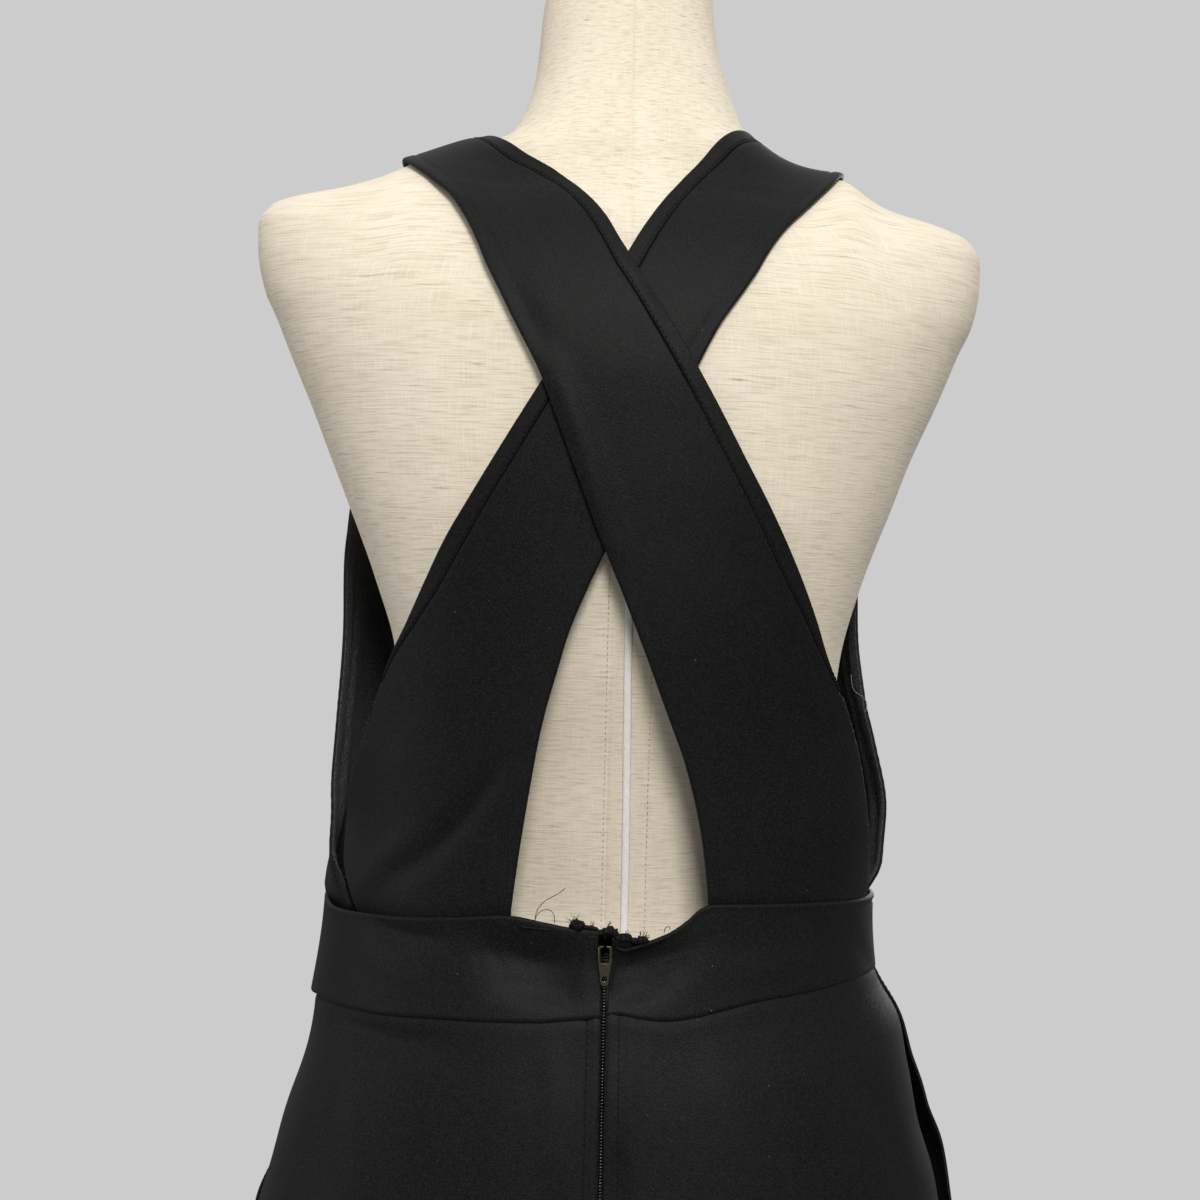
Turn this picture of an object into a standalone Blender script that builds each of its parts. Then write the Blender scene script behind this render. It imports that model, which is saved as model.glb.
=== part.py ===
"""Romper with wide crossed back straps, worn by a limbless linen dress form on a pole stand.

Metres, +Z up. The floor is z = 0, the back of the garment faces -Y and the wearer's left is -X.
Heights in the tables are measured from the waistband's top edge, WAIST_Z above the floor.
"""
import math

import bmesh
import bpy
import numpy as np

# Driving sizes
WAIST_Z = 1.030
STRAP_WALL = 0.0022
BAND_WALL = 0.0015
WAIST_WALL = 0.0026
SHORTS_WALL = 0.0016
SEAM = 0.0004
BODICE_SEAM = 0.0007
FIT = 0.0003
CROSS_LIFT = 0.0030
CROSS_START = (0.060, 0.150)
CROSS_END = (0.350, 0.392)
BAND_WIDTH = 0.0105
BAND_LEAST = 0.08
ROUNDNESS = 2.3
LEG_ROUNDNESS = 2.6
FRONT_ROUNDNESS = 2.2
SHOULDER_SEAM_STEP = np.array([0.0, 0.0005, -0.0003])
SHOULDER_DROP = 0.030
DROP_START = (0.150, 0.330)
DROP_END = (0.400, 0.440)
ARC_H = 0.330
ARC_R = 0.070

ZIP_X = -0.0055
ZIP_TOP_H = -0.006
ZIP_END_H = -0.205
ZIP_FOOT_H = -0.190
ZIP_HALF_GAP = 0.0019
CENTRE_REACH = 0.125
TAPE_HALF_WIDTH = 0.012
COIL_HALF_WIDTH = 0.0015
SLIDER_H = -0.0105
TAB_LENGTH = 0.0205
TAB_THICKNESS = 0.0011

CROTCH_H = -0.300
CROTCH_X = 0.0235
RISE_ROOM = 0.0012
HEM_H = -0.385
POCKET_TOP_H = -0.050
POCKET_END_H = -0.215
POCKET_GAPE = 0.0085
FACING_WALL = 0.0012
FACING_DEPTH = 0.0014
FACING_ARC = (78.0, 106.0)
FACING_HEIGHTS = (-0.058, -0.227)

FORM_COLUMNS = 38
STRAP_ROWS = 36
STRAP_COLUMNS = 8
FRONT_ROWS = 24
FRONT_COLUMNS = 12
WAISTBAND_ROWS = 5
SHORTS_ROWS = 25
SHORTS_COLUMNS = 13

BASE_RADIUS = 0.190
BASE_HEIGHT = 0.024
POLE_RADIUS = 0.0125
COLLAR_RADIUS = 0.026
COLLAR_HEIGHT = 0.0275
SOCKET_RADIUS = 0.034
SOCKET_HEIGHT = 0.014
NECK_H = 0.518

# Zip slider and pull tab, from the slider's middle: x across, y out of the cloth (negative), z up
SLIDER_LOW = (-0.0034, -0.0050, -0.0048)
SLIDER_HIGH = (0.0034, -0.0031, 0.0044)
KEEL_LOW = (-0.0013, -0.0035, -0.0038)
KEEL_HIGH = (0.0013, -0.0018, 0.0034)
SLIDER_ROUNDING = 0.0006
BAIL_HALF_WIDTH = 0.0008
BAIL_OUTER = [(0.0004, 0.0038), (-0.0025, 0.0030), (-0.0037, 0.0016), (-0.0037, -0.0018),
              (-0.0025, -0.0034), (0.0004, -0.0042)]
BAIL_INNER = [(0.0004, -0.0032), (-0.0020, -0.0026), (-0.0027, -0.0014), (-0.0027, 0.0012),
              (-0.0020, 0.0022), (0.0004, 0.0028)]
TAB_REST = (-0.0013, -0.0026)
TAB_HALF_TOP = 0.0034
TAB_HALF_END = 0.0019
TAB_SHOULDER = 0.0080
TAB_NECK = 0.0150
WINDOW_HALF_WIDTH = 0.0018
WINDOW_END = 0.0075
HOLE_RADIUS = 0.0008
HOLE_DROP = 0.0165

# The dress form, from its flat underside to the neck: height, centre x and y, half width, back and
# front depth
FORM = [
    (-0.270, -0.002, 0.000, 0.158, 0.098, 0.088),
    (-0.258, -0.002, 0.000, 0.166, 0.107, 0.094),
    (-0.200, -0.003, 0.000, 0.169, 0.118, 0.095),
    (-0.150, -0.003, 0.000, 0.162, 0.112, 0.093),
    (-0.100, -0.003, 0.000, 0.149, 0.100, 0.090),
    (-0.050, -0.003, 0.000, 0.130, 0.085, 0.087),
    (0.000, -0.003, 0.000, 0.118, 0.075, 0.085),
    (0.060, -0.003, 0.000, 0.119, 0.082, 0.092),
    (0.130, -0.003, 0.000, 0.1265, 0.098, 0.108),
    (0.170, -0.004, 0.000, 0.1380, 0.106, 0.121),
    (0.2145, -0.005, 0.000, 0.1550, 0.112, 0.112),
    (0.245, -0.006, 0.000, 0.1670, 0.1125, 0.098),
    (0.2725, -0.006, 0.000, 0.1785, 0.1120, 0.084),
    (0.3027, -0.006, 0.000, 0.1890, 0.1080, 0.070),
    (0.322, -0.006, 0.000, 0.1960, 0.1020, 0.062),
    (0.345, -0.006, 0.000, 0.1990, 0.0920, 0.053),
    (0.359, -0.006, 0.000, 0.1985, 0.0835, 0.048),
    (0.3695, -0.006, 0.001, 0.1920, 0.0760, 0.045),
    (0.3757, -0.006, 0.002, 0.1780, 0.0720, 0.044),
    (0.380, -0.005, 0.002, 0.1600, 0.0690, 0.043),
    (0.3865, -0.004, 0.003, 0.1380, 0.0660, 0.042),
    (0.393, -0.003, 0.004, 0.1190, 0.0640, 0.042),
    (0.402, -0.002, 0.005, 0.0970, 0.0620, 0.042),
    (0.411, -0.001, 0.007, 0.0770, 0.0600, 0.043),
    (0.4185, -0.001, 0.009, 0.0655, 0.0580, 0.043),
    (0.431, -0.001, 0.012, 0.0590, 0.0540, 0.044),
    (0.447, -0.001, 0.015, 0.0530, 0.0500, 0.044),
    (0.469, -0.001, 0.019, 0.0476, 0.0465, 0.044),
    (0.491, -0.001, 0.023, 0.0448, 0.0445, 0.043),
    (0.520, -0.001, 0.028, 0.0435, 0.0430, 0.042),
]

# The hull that the romper's cloth lies on, in the same columns: it spans the small of the back and
# hangs clear of the hips
HULL = [
    (-0.400, -0.003, 0.000, 0.231, 0.152, 0.145),
    (-0.300, -0.003, 0.000, 0.213, 0.149, 0.136),
    (-0.220, -0.003, 0.000, 0.199, 0.145, 0.127),
    (-0.165, -0.003, 0.000, 0.1885, 0.140, 0.120),
    (-0.115, -0.005, 0.000, 0.1745, 0.133, 0.114),
    (-0.055, -0.0095, 0.000, 0.1530, 0.121, 0.107),
    (0.000, -0.0090, 0.000, 0.1470, 0.113, 0.102),
    (0.050, -0.005, 0.000, 0.1480, 0.112, 0.108),
    (0.100, -0.006, 0.000, 0.1455, 0.113, 0.115),
    (0.130, -0.006, 0.000, 0.1450, 0.114, 0.119),
    (0.170, -0.006, 0.000, 0.1490, 0.1155, 0.124),
    (0.2145, -0.006, 0.000, 0.1590, 0.1160, 0.116),
    (0.245, -0.006, 0.000, 0.1700, 0.1155, 0.101),
    (0.2725, -0.006, 0.000, 0.1815, 0.1145, 0.087),
    (0.3027, -0.006, 0.000, 0.1920, 0.1100, 0.073),
    (0.322, -0.006, 0.000, 0.1990, 0.1040, 0.065),
    (0.345, -0.006, 0.000, 0.2020, 0.0938, 0.056),
    (0.359, -0.006, 0.000, 0.2010, 0.0853, 0.051),
    (0.3706, -0.006, 0.001, 0.1938, 0.0776, 0.048),
    (0.3764, -0.006, 0.002, 0.1785, 0.0736, 0.046),
    (0.3809, -0.005, 0.002, 0.1605, 0.0706, 0.0455),
    (0.3873, -0.004, 0.003, 0.1386, 0.0676, 0.0445),
    (0.3938, -0.003, 0.004, 0.1197, 0.0656, 0.0445),
    (0.4028, -0.002, 0.005, 0.0977, 0.0636, 0.0445),
    (0.4118, -0.001, 0.007, 0.0777, 0.0616, 0.0455),
    (0.4195, -0.001, 0.010, 0.0662, 0.0590, 0.046),
    (0.4330, -0.001, 0.013, 0.0600, 0.0550, 0.047),
]

# Back straps, a row for each station from the waistband to the shoulder seam: x and run of the edge
# towards -X, then of the edge towards +X, and the part of the band's width there. The run is the
# height up to ARC_H and then the arc over the shoulder.
STRAP_LEFT_SHOULDER = [
    (0.0457, 0.0095, 0.1330, 0.0073, 0.00),
    (0.0432, 0.0316, 0.1315, 0.0330, 0.00),
    (0.0392, 0.0540, 0.1282, 0.0600, 0.00),
    (0.0325, 0.0790, 0.1228, 0.0840, 0.00),
    (0.0229, 0.1040, 0.1142, 0.1090, 0.05),
    (0.0125, 0.1310, 0.1035, 0.1330, 0.25),
    (0.0005, 0.1610, 0.0955, 0.1560, 0.60),
    (-0.0095, 0.1850, 0.0862, 0.1790, 0.90),
    (-0.0205, 0.2140, 0.0735, 0.2060, 1.00),
    (-0.0325, 0.2450, 0.0590, 0.2330, 1.00),
    (-0.0446, 0.2745, 0.0434, 0.2620, 1.00),
    (-0.0563, 0.2960, 0.0290, 0.2870, 0.98),
    (-0.0688, 0.3200, 0.0130, 0.3130, 0.95),
    (-0.0800, 0.3410, -0.0022, 0.3350, 0.92),
    (-0.0913, 0.3580, -0.0185, 0.3560, 0.90),
    (-0.1050, 0.3740, -0.0395, 0.3770, 0.90),
    (-0.1165, 0.3920, -0.0590, 0.3940, 0.90),
    (-0.1230, 0.4140, -0.0735, 0.4130, 0.90),
    (-0.1255, 0.4400, -0.0815, 0.4390, 0.90),
    (-0.1250, 0.4650, -0.0830, 0.4650, 0.90),
]
STRAP_RIGHT_SHOULDER = [
    (-0.1410, -0.0045, -0.0532, 0.0022, 0.00),
    (-0.1500, 0.0200, -0.0507, 0.0240, 0.00),
    (-0.1475, 0.0455, -0.0481, 0.0440, 0.00),
    (-0.1400, 0.0680, -0.0450, 0.0650, 0.00),
    (-0.1331, 0.0845, -0.0415, 0.0870, 0.00),
    (-0.1262, 0.1070, -0.0378, 0.1050, 0.03),
    (-0.1190, 0.1286, -0.0327, 0.1240, 0.18),
    (-0.1100, 0.1480, -0.0268, 0.1450, 0.50),
    (-0.1012, 0.1680, -0.0185, 0.1660, 0.85),
    (-0.0913, 0.1896, -0.0095, 0.1860, 1.00),
    (-0.0797, 0.2100, 0.0030, 0.2120, 1.00),
    (-0.0664, 0.2326, 0.0145, 0.2370, 1.00),
    (-0.0542, 0.2530, 0.0248, 0.2590, 1.00),
    (-0.0421, 0.2730, 0.0358, 0.2820, 0.98),
    (-0.0300, 0.2930, 0.0455, 0.3010, 0.95),
    (-0.0165, 0.3140, 0.0563, 0.3170, 0.93),
    (-0.0022, 0.3350, 0.0681, 0.3350, 0.92),
    (0.0118, 0.3550, 0.0814, 0.3546, 0.90),
    (0.0247, 0.3730, 0.0950, 0.3720, 0.90),
    (0.0395, 0.3910, 0.1065, 0.3900, 0.90),
    (0.0535, 0.4100, 0.1130, 0.4120, 0.90),
    (0.0660, 0.4370, 0.1160, 0.4380, 0.90),
    (0.0720, 0.4650, 0.1170, 0.4650, 0.90),
]

# Front bodice halves below the shoulder seam: neck edge x, y, height, armhole edge x, y, height, and
# how round the section is between them
FRONT_LEFT = [
    (-0.0780, 0.0500, 0.3650, -0.1270, 0.0460, 0.3480, 0.30),
    (-0.0670, 0.0700, 0.3250, -0.1340, 0.0600, 0.3020, 0.45),
    (-0.0530, 0.0910, 0.2830, -0.1410, 0.0620, 0.2560, 0.60),
    (-0.0420, 0.1150, 0.2350, -0.1515, 0.0500, 0.2135, 0.75),
    (-0.0325, 0.1300, 0.1880, -0.1525, 0.0350, 0.1680, 0.88),
    (-0.0235, 0.1310, 0.1400, -0.1535, 0.0180, 0.1230, 0.95),
    (-0.0155, 0.1250, 0.0920, -0.1545, 0.0020, 0.0830, 1.00),
    (-0.0085, 0.1170, 0.0500, -0.1550, -0.0130, 0.0480, 1.00),
    (-0.0035, 0.1100, 0.0200, -0.1530, -0.0310, 0.0210, 1.00),
    (-0.0006, 0.1050, 0.0005, -0.1440, -0.0440, -0.0035, 1.00),
]
FRONT_RIGHT = [
    (0.0710, 0.0500, 0.3650, 0.1210, 0.0460, 0.3460, 0.30),
    (0.0620, 0.0700, 0.3250, 0.1280, 0.0600, 0.3000, 0.45),
    (0.0520, 0.0910, 0.2830, 0.1330, 0.0640, 0.2540, 0.60),
    (0.0415, 0.1150, 0.2350, 0.1345, 0.0600, 0.2100, 0.75),
    (0.0320, 0.1300, 0.1880, 0.1330, 0.0500, 0.1650, 0.88),
    (0.0235, 0.1310, 0.1400, 0.1335, 0.0340, 0.1230, 0.95),
    (0.0155, 0.1250, 0.0920, 0.1415, 0.0160, 0.0835, 1.00),
    (0.0085, 0.1170, 0.0500, 0.1470, -0.0020, 0.0480, 1.00),
    (0.0035, 0.1100, 0.0200, 0.1430, -0.0200, 0.0230, 1.00),
    (0.0006, 0.1050, 0.0005, 0.1380, -0.0280, 0.0080, 1.00),
]

# Waistband and waist seam round the body: angle from the centre back (degrees, wearer's right
# positive), height of the top edge, height of the seam below it
WAISTLINE = [
    (-180.0, 0.0000, -0.0520),
    (-120.0, 0.0010, -0.0535),
    (-90.0, -0.0005, -0.0560),
    (-70.0, -0.0045, -0.0520),
    (-51.0, -0.0030, -0.0530),
    (-37.0, -0.0010, -0.0518),
    (-22.5, 0.0016, -0.0512),
    (-13.7, -0.0010, -0.0508),
    (-6.0, -0.0035, -0.0492),
    (0.4, -0.0043, -0.0478),
    (5.5, -0.0080, -0.0461),
    (10.5, -0.0096, -0.0478),
    (16.5, -0.0060, -0.0487),
    (22.0, 0.0012, -0.0476),
    (25.0, 0.0070, -0.0463),
    (28.0, 0.0092, -0.0448),
    (38.0, 0.0090, -0.0400),
    (52.0, 0.0084, -0.0367),
    (68.0, 0.0070, -0.0338),
    (90.0, 0.0060, -0.0360),
    (125.0, 0.0030, -0.0450),
    (180.0, 0.0000, -0.0520),
]

FINISHES = {
    "scuba": ((0.022, 0.022, 0.025), 0.62, 0.0),
    "linen": ((0.82, 0.77, 0.66), 0.90, 0.0),
    "zip_cloth": ((0.012, 0.012, 0.013), 0.75, 0.0),
    "gunmetal": ((0.20, 0.17, 0.13), 0.35, 1.0),
    "painted_steel": ((0.05, 0.05, 0.052), 0.40, 0.6),
    "pale_wood": ((0.62, 0.47, 0.30), 0.50, 0.0),
}


def clear_scene():
    """Empties the file before anything is built."""
    for thing in list(bpy.data.objects):
        bpy.data.objects.remove(thing, do_unlink=True)


def finish(name):
    """The material of a finish, made once."""
    if name in bpy.data.materials:
        return bpy.data.materials[name]
    colour, roughness, metallic = FINISHES[name]
    material = bpy.data.materials.new(name)
    material.use_nodes = True
    shader = material.node_tree.nodes["Principled BSDF"]
    shader.inputs["Base Color"].default_value = (*colour, 1.0)
    shader.inputs["Roughness"].default_value = roughness
    shader.inputs["Metallic"].default_value = metallic
    return material


def read(table, column, at):
    """A column's value at a key of the first column, on a smooth curve that never overshoots a row."""
    keys = np.array([row[0] for row in table])
    values = np.array([row[column] for row in table])
    steps = np.diff(values) / np.diff(keys)
    slopes = np.zeros(len(keys))
    same = steps[:-1] * steps[1:] > 0
    slopes[1:-1][same] = 2 * steps[:-1][same] * steps[1:][same] / (steps[:-1] + steps[1:])[same]
    slopes[0], slopes[-1] = steps[0], steps[-1]
    at = np.clip(at, keys[0], keys[-1])
    i = np.clip(np.searchsorted(keys, at) - 1, 0, len(keys) - 2)
    span = keys[i + 1] - keys[i]
    t = (at - keys[i]) / span
    rise = values[i + 1] - values[i]
    start, end = slopes[i] * span, slopes[i + 1] * span
    return values[i] + t * (start + t * (3 * rise - 2 * start - end + t * (start + end - 2 * rise)))


def through(points, count):
    """Evenly spread points on a smooth curve through the rows of an array, along its first axis."""
    points = np.asarray(points, float)
    flat = points.reshape(len(points), -1)
    along = np.concatenate([[0.0], np.cumsum(np.linalg.norm(np.diff(flat, axis=0), axis=1))])
    slopes = np.gradient(flat, along, axis=0)
    at = np.linspace(0.0, along[-1], count)
    i = np.clip(np.searchsorted(along, at) - 1, 0, len(along) - 2)
    span = (along[i + 1] - along[i])[:, None]
    t = (at - along[i])[:, None] / span
    rise = flat[i + 1] - flat[i]
    start, end = slopes[i] * span, slopes[i + 1] * span
    curve = flat[i] + t * (start + t * (3 * rise - 2 * start - end + t * (start + end - 2 * rise)))
    return curve.reshape(count, *points.shape[1:])


def ramp(low, high, at):
    """Rises smoothly from 0 at low to 1 at high."""
    t = np.clip((np.asarray(at, float) - low) / (high - low), 0.0, 1.0)
    return t * t * (3 - 2 * t)


def drop(x, h):
    """How far the shoulder line lies lower at x than in the tables: it drops to the wearer's right."""
    return SHOULDER_DROP * x * ramp(*DROP_START, h) * (1 - ramp(*DROP_END, h))


def ring(table, h, angle, outset=0.0):
    """A point on a table's section, at an angle in radians from the centre back."""
    angle, h = np.broadcast_arrays(np.asarray(angle, float), np.asarray(h, float))
    sine, cosine = np.sin(angle), np.cos(angle)
    half = read(table, 3, h) + outset
    depth = np.where(cosine > 0, read(table, 4, h), read(table, 5, h)) + outset
    reach = ((np.abs(sine) / half) ** ROUNDNESS + (np.abs(cosine) / depth) ** ROUNDNESS) ** (-1 / ROUNDNESS)
    return np.stack([read(table, 1, h) + reach * sine, read(table, 2, h) - reach * cosine, h], axis=-1)


def outside(table, x, y, h):
    """Below 0 inside a table's body, 0 on its surface and above 0 outside."""
    level = h + drop(x, h)
    across = np.abs(x - read(table, 1, level)) / read(table, 3, level)
    y = y - read(table, 2, level)
    depth = np.where(y < 0, read(table, 4, level), read(table, 5, level))
    beyond = ramp(table[-1][0] - 0.001, table[-1][0] + 0.02, level) * 4
    return across ** ROUNDNESS + (np.abs(y) / depth) ** ROUNDNESS - 1 + beyond


def over(x, run):
    """The hull's surface at x and a run: up the back, in an arc over the shoulder and down the front."""
    x, run = np.broadcast_arrays(np.asarray(x, float), np.asarray(run, float))
    turn = np.clip((run - ARC_H) / ARC_R, 0.0, math.pi)
    front_drop = np.maximum(run - ARC_H - math.pi * ARC_R, 0.0)
    start_h = np.minimum(run, ARC_H) - front_drop
    near, far = np.full(x.shape, 0.002), np.full(x.shape, 0.30)
    for _ in range(40):
        middle = (near + far) / 2
        inside = outside(HULL, x, -middle * np.cos(turn), start_h + middle * np.sin(turn)) < 0
        near, far = np.where(inside, middle, near), np.where(inside, far, middle)
    return np.stack([x, -near * np.cos(turn), start_h + near * np.sin(turn)], axis=-1)


def settle(grid):
    """Moves the points that lie inside the hull out to its surface."""
    moved = grid.copy()
    step = 1e-5
    for _ in range(6):
        x, y, h = moved[..., 0], moved[..., 1], moved[..., 2]
        value = outside(HULL, x, y, h)
        slope = np.stack([outside(HULL, x + step, y, h) - value, outside(HULL, x, y + step, h) - value,
                          outside(HULL, x, y, h + step) - value], axis=-1) / step
        shift = slope * (-value / np.sum(slope * slope, axis=-1))[..., None]
        moved = np.where((value < 0)[..., None], moved + shift, moved)
    return moved


def outward(grid):
    """Unit normals of a grid of points, turned away from the body's axis."""
    along, across = np.gradient(grid, axis=0), np.gradient(grid, axis=1)
    normals = np.cross(along, across)
    normals /= np.linalg.norm(normals, axis=-1, keepdims=True)
    middle = grid.reshape(-1, 3).mean(axis=0)
    side = middle * (1.0, 1.0, 0.0)
    facing = np.sign(np.sum(normals.reshape(-1, 3).mean(axis=0) * side))
    return normals * (facing if facing else 1.0)


def add_mesh(name, verts, faces, look):
    """A named object with its material, its faces turned outwards."""
    mesh = bpy.data.meshes.new(name)
    mesh.from_pydata([tuple(v) for v in verts], [], faces)
    shape = bmesh.new()
    shape.from_mesh(mesh)
    bmesh.ops.recalc_face_normals(shape, faces=shape.faces)
    shape.to_mesh(mesh)
    shape.free()
    mesh.materials.append(finish(look))
    mesh.shade_smooth()
    mesh.set_sharp_from_angle(angle=math.radians(50))
    thing = bpy.data.objects.new(name, mesh)
    bpy.context.collection.objects.link(thing)
    return thing


def wall(name, grid, thickness, look, level=(0,), seam_x=None, side=0):
    """A cloth wall: a grid of points, the same grid moved out by its thickness, and the rim. The rims
    of the level rows lie flat, and the outer face stops at its side of a centre seam."""
    rows, columns = grid.shape[:2]
    normals = outward(grid)
    for row in level:
        normals[row, :, 2] = 0.0
        normals[row] /= np.linalg.norm(normals[row], axis=-1, keepdims=True)
    skin = grid + normals * thickness
    if seam_x is not None:
        reach = np.maximum(side * (skin[..., 0] - seam_x[:, None]), SEAM / 2)
        skin[..., 0] = seam_x[:, None] + side * reach
    verts = np.concatenate([grid.reshape(-1, 3), skin.reshape(-1, 3)]) + (0.0, 0.0, WAIST_Z)
    inner = np.arange(rows * columns).reshape(rows, columns)
    outer = inner + rows * columns
    faces = []
    for i in range(rows - 1):
        for j in range(columns - 1):
            faces.append((inner[i, j], inner[i, j + 1], inner[i + 1, j + 1], inner[i + 1, j]))
            faces.append((outer[i, j], outer[i + 1, j], outer[i + 1, j + 1], outer[i, j + 1]))
    rim = [(0, j) for j in range(columns)] + [(i, columns - 1) for i in range(1, rows)]
    rim += [(rows - 1, j) for j in range(columns - 2, -1, -1)] + [(i, 0) for i in range(rows - 2, 0, -1)]
    for a, b in zip(rim, rim[1:] + rim[:1]):
        faces.append((inner[b], inner[a], outer[a], outer[b]))
    return add_mesh(name, verts, [tuple(int(k) for k in face) for face in faces], look)


def stack(name, rings, look):
    """A closed solid lofted through rings of equal count, with a flat fan at each end."""
    count = len(rings[0])
    verts = [point for loop in rings for point in loop]
    faces = []
    for i in range(len(rings) - 1):
        for j in range(count):
            a, b = i * count + j, i * count + (j + 1) % count
            faces.append((a, b, b + count, a + count))
    for i in (0, len(rings) - 1):
        hub = len(verts)
        verts.append(np.mean(rings[i], axis=0))
        faces += [(hub, i * count + j, i * count + (j + 1) % count) for j in range(count)]
    return add_mesh(name, verts, faces, look)


def turned(name, profile, look, segments=40, centre=(0.0, 0.0)):
    """A closed solid turned round an upright axis from rows of radius and height."""
    angles = np.linspace(0, 2 * math.pi, segments, endpoint=False)
    rings = []
    for radius, z in profile:
        x, y = centre[0] + radius * np.cos(angles), centre[1] + radius * np.sin(angles)
        rings.append(np.stack([x, y, np.full(segments, z)], axis=-1))
    return stack(name, rings, look)


def dress_form():
    """Torso with its neck, the neck cap, and the stand below."""
    heights = [-0.270, -0.2665, -0.258, -0.230, -0.195, -0.160, -0.125, -0.090, -0.055, -0.020]
    heights += [0.015, 0.050, 0.085, 0.120, 0.148, 0.176, 0.204, 0.232, 0.260, 0.287, 0.310]
    heights += [0.330, 0.347, 0.360, 0.370, 0.3765, 0.3815, 0.3865, 0.393, 0.401, 0.410]
    heights += [0.419, 0.431, 0.450, 0.480, NECK_H]
    angles = np.linspace(0, 2 * math.pi, FORM_COLUMNS, endpoint=False)
    rings = []
    for h in heights:
        loop = ring(FORM, h, angles, outset=-0.006 if h == heights[0] else 0.0)
        loop[:, 2] = WAIST_Z + h - drop(loop[:, 0], h)
        rings.append(loop)
    stack("torso", rings, "linen")
    cap = [(0.0415, 0.0), (0.0450, 0.0), (0.0465, 0.0021), (0.0465, 0.0101), (0.0440, 0.0141)]
    cap += [(0.0320, 0.0181), (0.0160, 0.0201)]
    top = ring(FORM, NECK_H, np.array([0.0, math.pi]))
    centre = (float(read(FORM, 1, NECK_H)), float(top[:, 1].mean()))
    turned("neck_cap", [(r, WAIST_Z + NECK_H + SEAM + z) for r, z in cap], "pale_wood", 28, centre)
    bore = POLE_RADIUS + FIT
    foot, underside = BASE_HEIGHT + SEAM, WAIST_Z + FORM[0][0] - SEAM
    turned("pole", [(POLE_RADIUS, foot), (POLE_RADIUS, underside)], "painted_steel", 24)
    collar = [(bore, 0.0), (COLLAR_RADIUS, 0.0), (COLLAR_RADIUS, COLLAR_HEIGHT - 0.006)]
    collar += [(COLLAR_RADIUS - 0.004, COLLAR_HEIGHT), (bore, COLLAR_HEIGHT)]
    tube("pole_collar", [(r, foot + z) for r, z in collar], "painted_steel", 20)
    base = [(BASE_RADIUS - 0.003, 0.0), (BASE_RADIUS, 0.003), (BASE_RADIUS, BASE_HEIGHT - 0.010)]
    base += [(BASE_RADIUS - 0.004, BASE_HEIGHT - 0.004), (BASE_RADIUS - 0.016, BASE_HEIGHT)]
    turned("base", base, "painted_steel", 48)
    socket = [(bore, 0.0), (SOCKET_RADIUS, 0.0), (SOCKET_RADIUS, 0.006)]
    socket += [(SOCKET_RADIUS - 0.014, SOCKET_HEIGHT), (bore, SOCKET_HEIGHT)]
    tube("form_socket", [(r, underside - z) for r, z in socket], "painted_steel", 20)


def tube(name, profile, look, segments):
    """A ring turned round the stand's axis from a closed outline of radius and height."""
    angles = np.linspace(0, 2 * math.pi, segments, endpoint=False)
    verts, faces = [], []
    for angle in angles:
        verts += [(r * math.cos(angle), r * math.sin(angle), z) for r, z in profile]
    count = len(profile)
    for i in range(segments):
        here, there = i * count, ((i + 1) % segments) * count
        for j in range(count):
            k = (j + 1) % count
            faces.append((here + j, there + j, there + k, here + k))
    add_mesh(name, verts, faces, look)


def strap_grids(stations, band_side):
    """Grids of a strap's panel and of its edge band, both on the hull, as x and run turned to points."""
    table = through(np.array(stations) * (1, 1, 1, 1, 0.02), STRAP_ROWS)
    share = table[:, 4] / 0.02
    low, high = table[:, 0:2], table[:, 2:4]
    span = np.linalg.norm(high - low, axis=1)
    banded = share > BAND_LEAST
    cut = np.where(banded, share * BAND_WIDTH / span, 0.0)
    seam = np.where(banded, SEAM / span, 0.0)

    def between(start, end, columns):
        shares = start + (end - start) * np.linspace(0, 1, columns)[:, None]
        return np.stack([over(*(low + (high - low) * t[:, None]).T) for t in shares], axis=1)

    if band_side < 0:
        return between(cut + seam, 1 + 0 * cut, STRAP_COLUMNS), between(0 * cut, cut, 3)[banded]
    return between(0 * cut, 1 - cut - seam, STRAP_COLUMNS), between(1 - cut, 1 + 0 * cut, 3)[banded]


def cross_lift(grid):
    """How far the upper strap stands off the lower one: all of it where they cross."""
    h = grid[..., 2]
    return CROSS_LIFT * ramp(*CROSS_START, h) * (1 - ramp(*CROSS_END, h))


def around(points):
    """Angle in degrees of points round the waist, from the centre back."""
    centre = float(read(HULL, 1, 0.0))
    return np.degrees(np.arctan2(points[..., 0] - centre, -points[..., 1]))


def sit_on_waist(grid):
    """Brings a bodice piece's lower edge to just above the waistband's top edge."""
    lowest = grid[0]
    shift = read(WAISTLINE, 1, around(lowest)) + BODICE_SEAM - lowest[:, 2]
    fade = 1 - ramp(0.0, 0.05, grid[..., 2] - lowest[None, :, 2])
    moved = grid.copy()
    moved[..., 2] += shift[None, :] * fade
    return moved


def straps():
    """Both back straps with their edge bands; the one from the left shoulder lies on top."""
    seams = {}
    for side, stations, band_side in (("left", STRAP_LEFT_SHOULDER, 1), ("right", STRAP_RIGHT_SHOULDER, -1)):
        panel, edge = strap_grids(stations, band_side)
        panel = sit_on_waist(panel)
        if side == "left":
            panel = panel + outward(panel) * cross_lift(panel)[..., None]
            edge = edge + outward(edge) * cross_lift(edge)[..., None]
        wall("strap_" + side, panel, STRAP_WALL, "scuba")
        wall("strap_band_" + side, edge + outward(edge) * FIT, BAND_WALL, "scuba")
        seams[side] = over(*np.array([stations[-1][0:2], stations[-1][2:4]]).T)
    return seams


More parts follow.
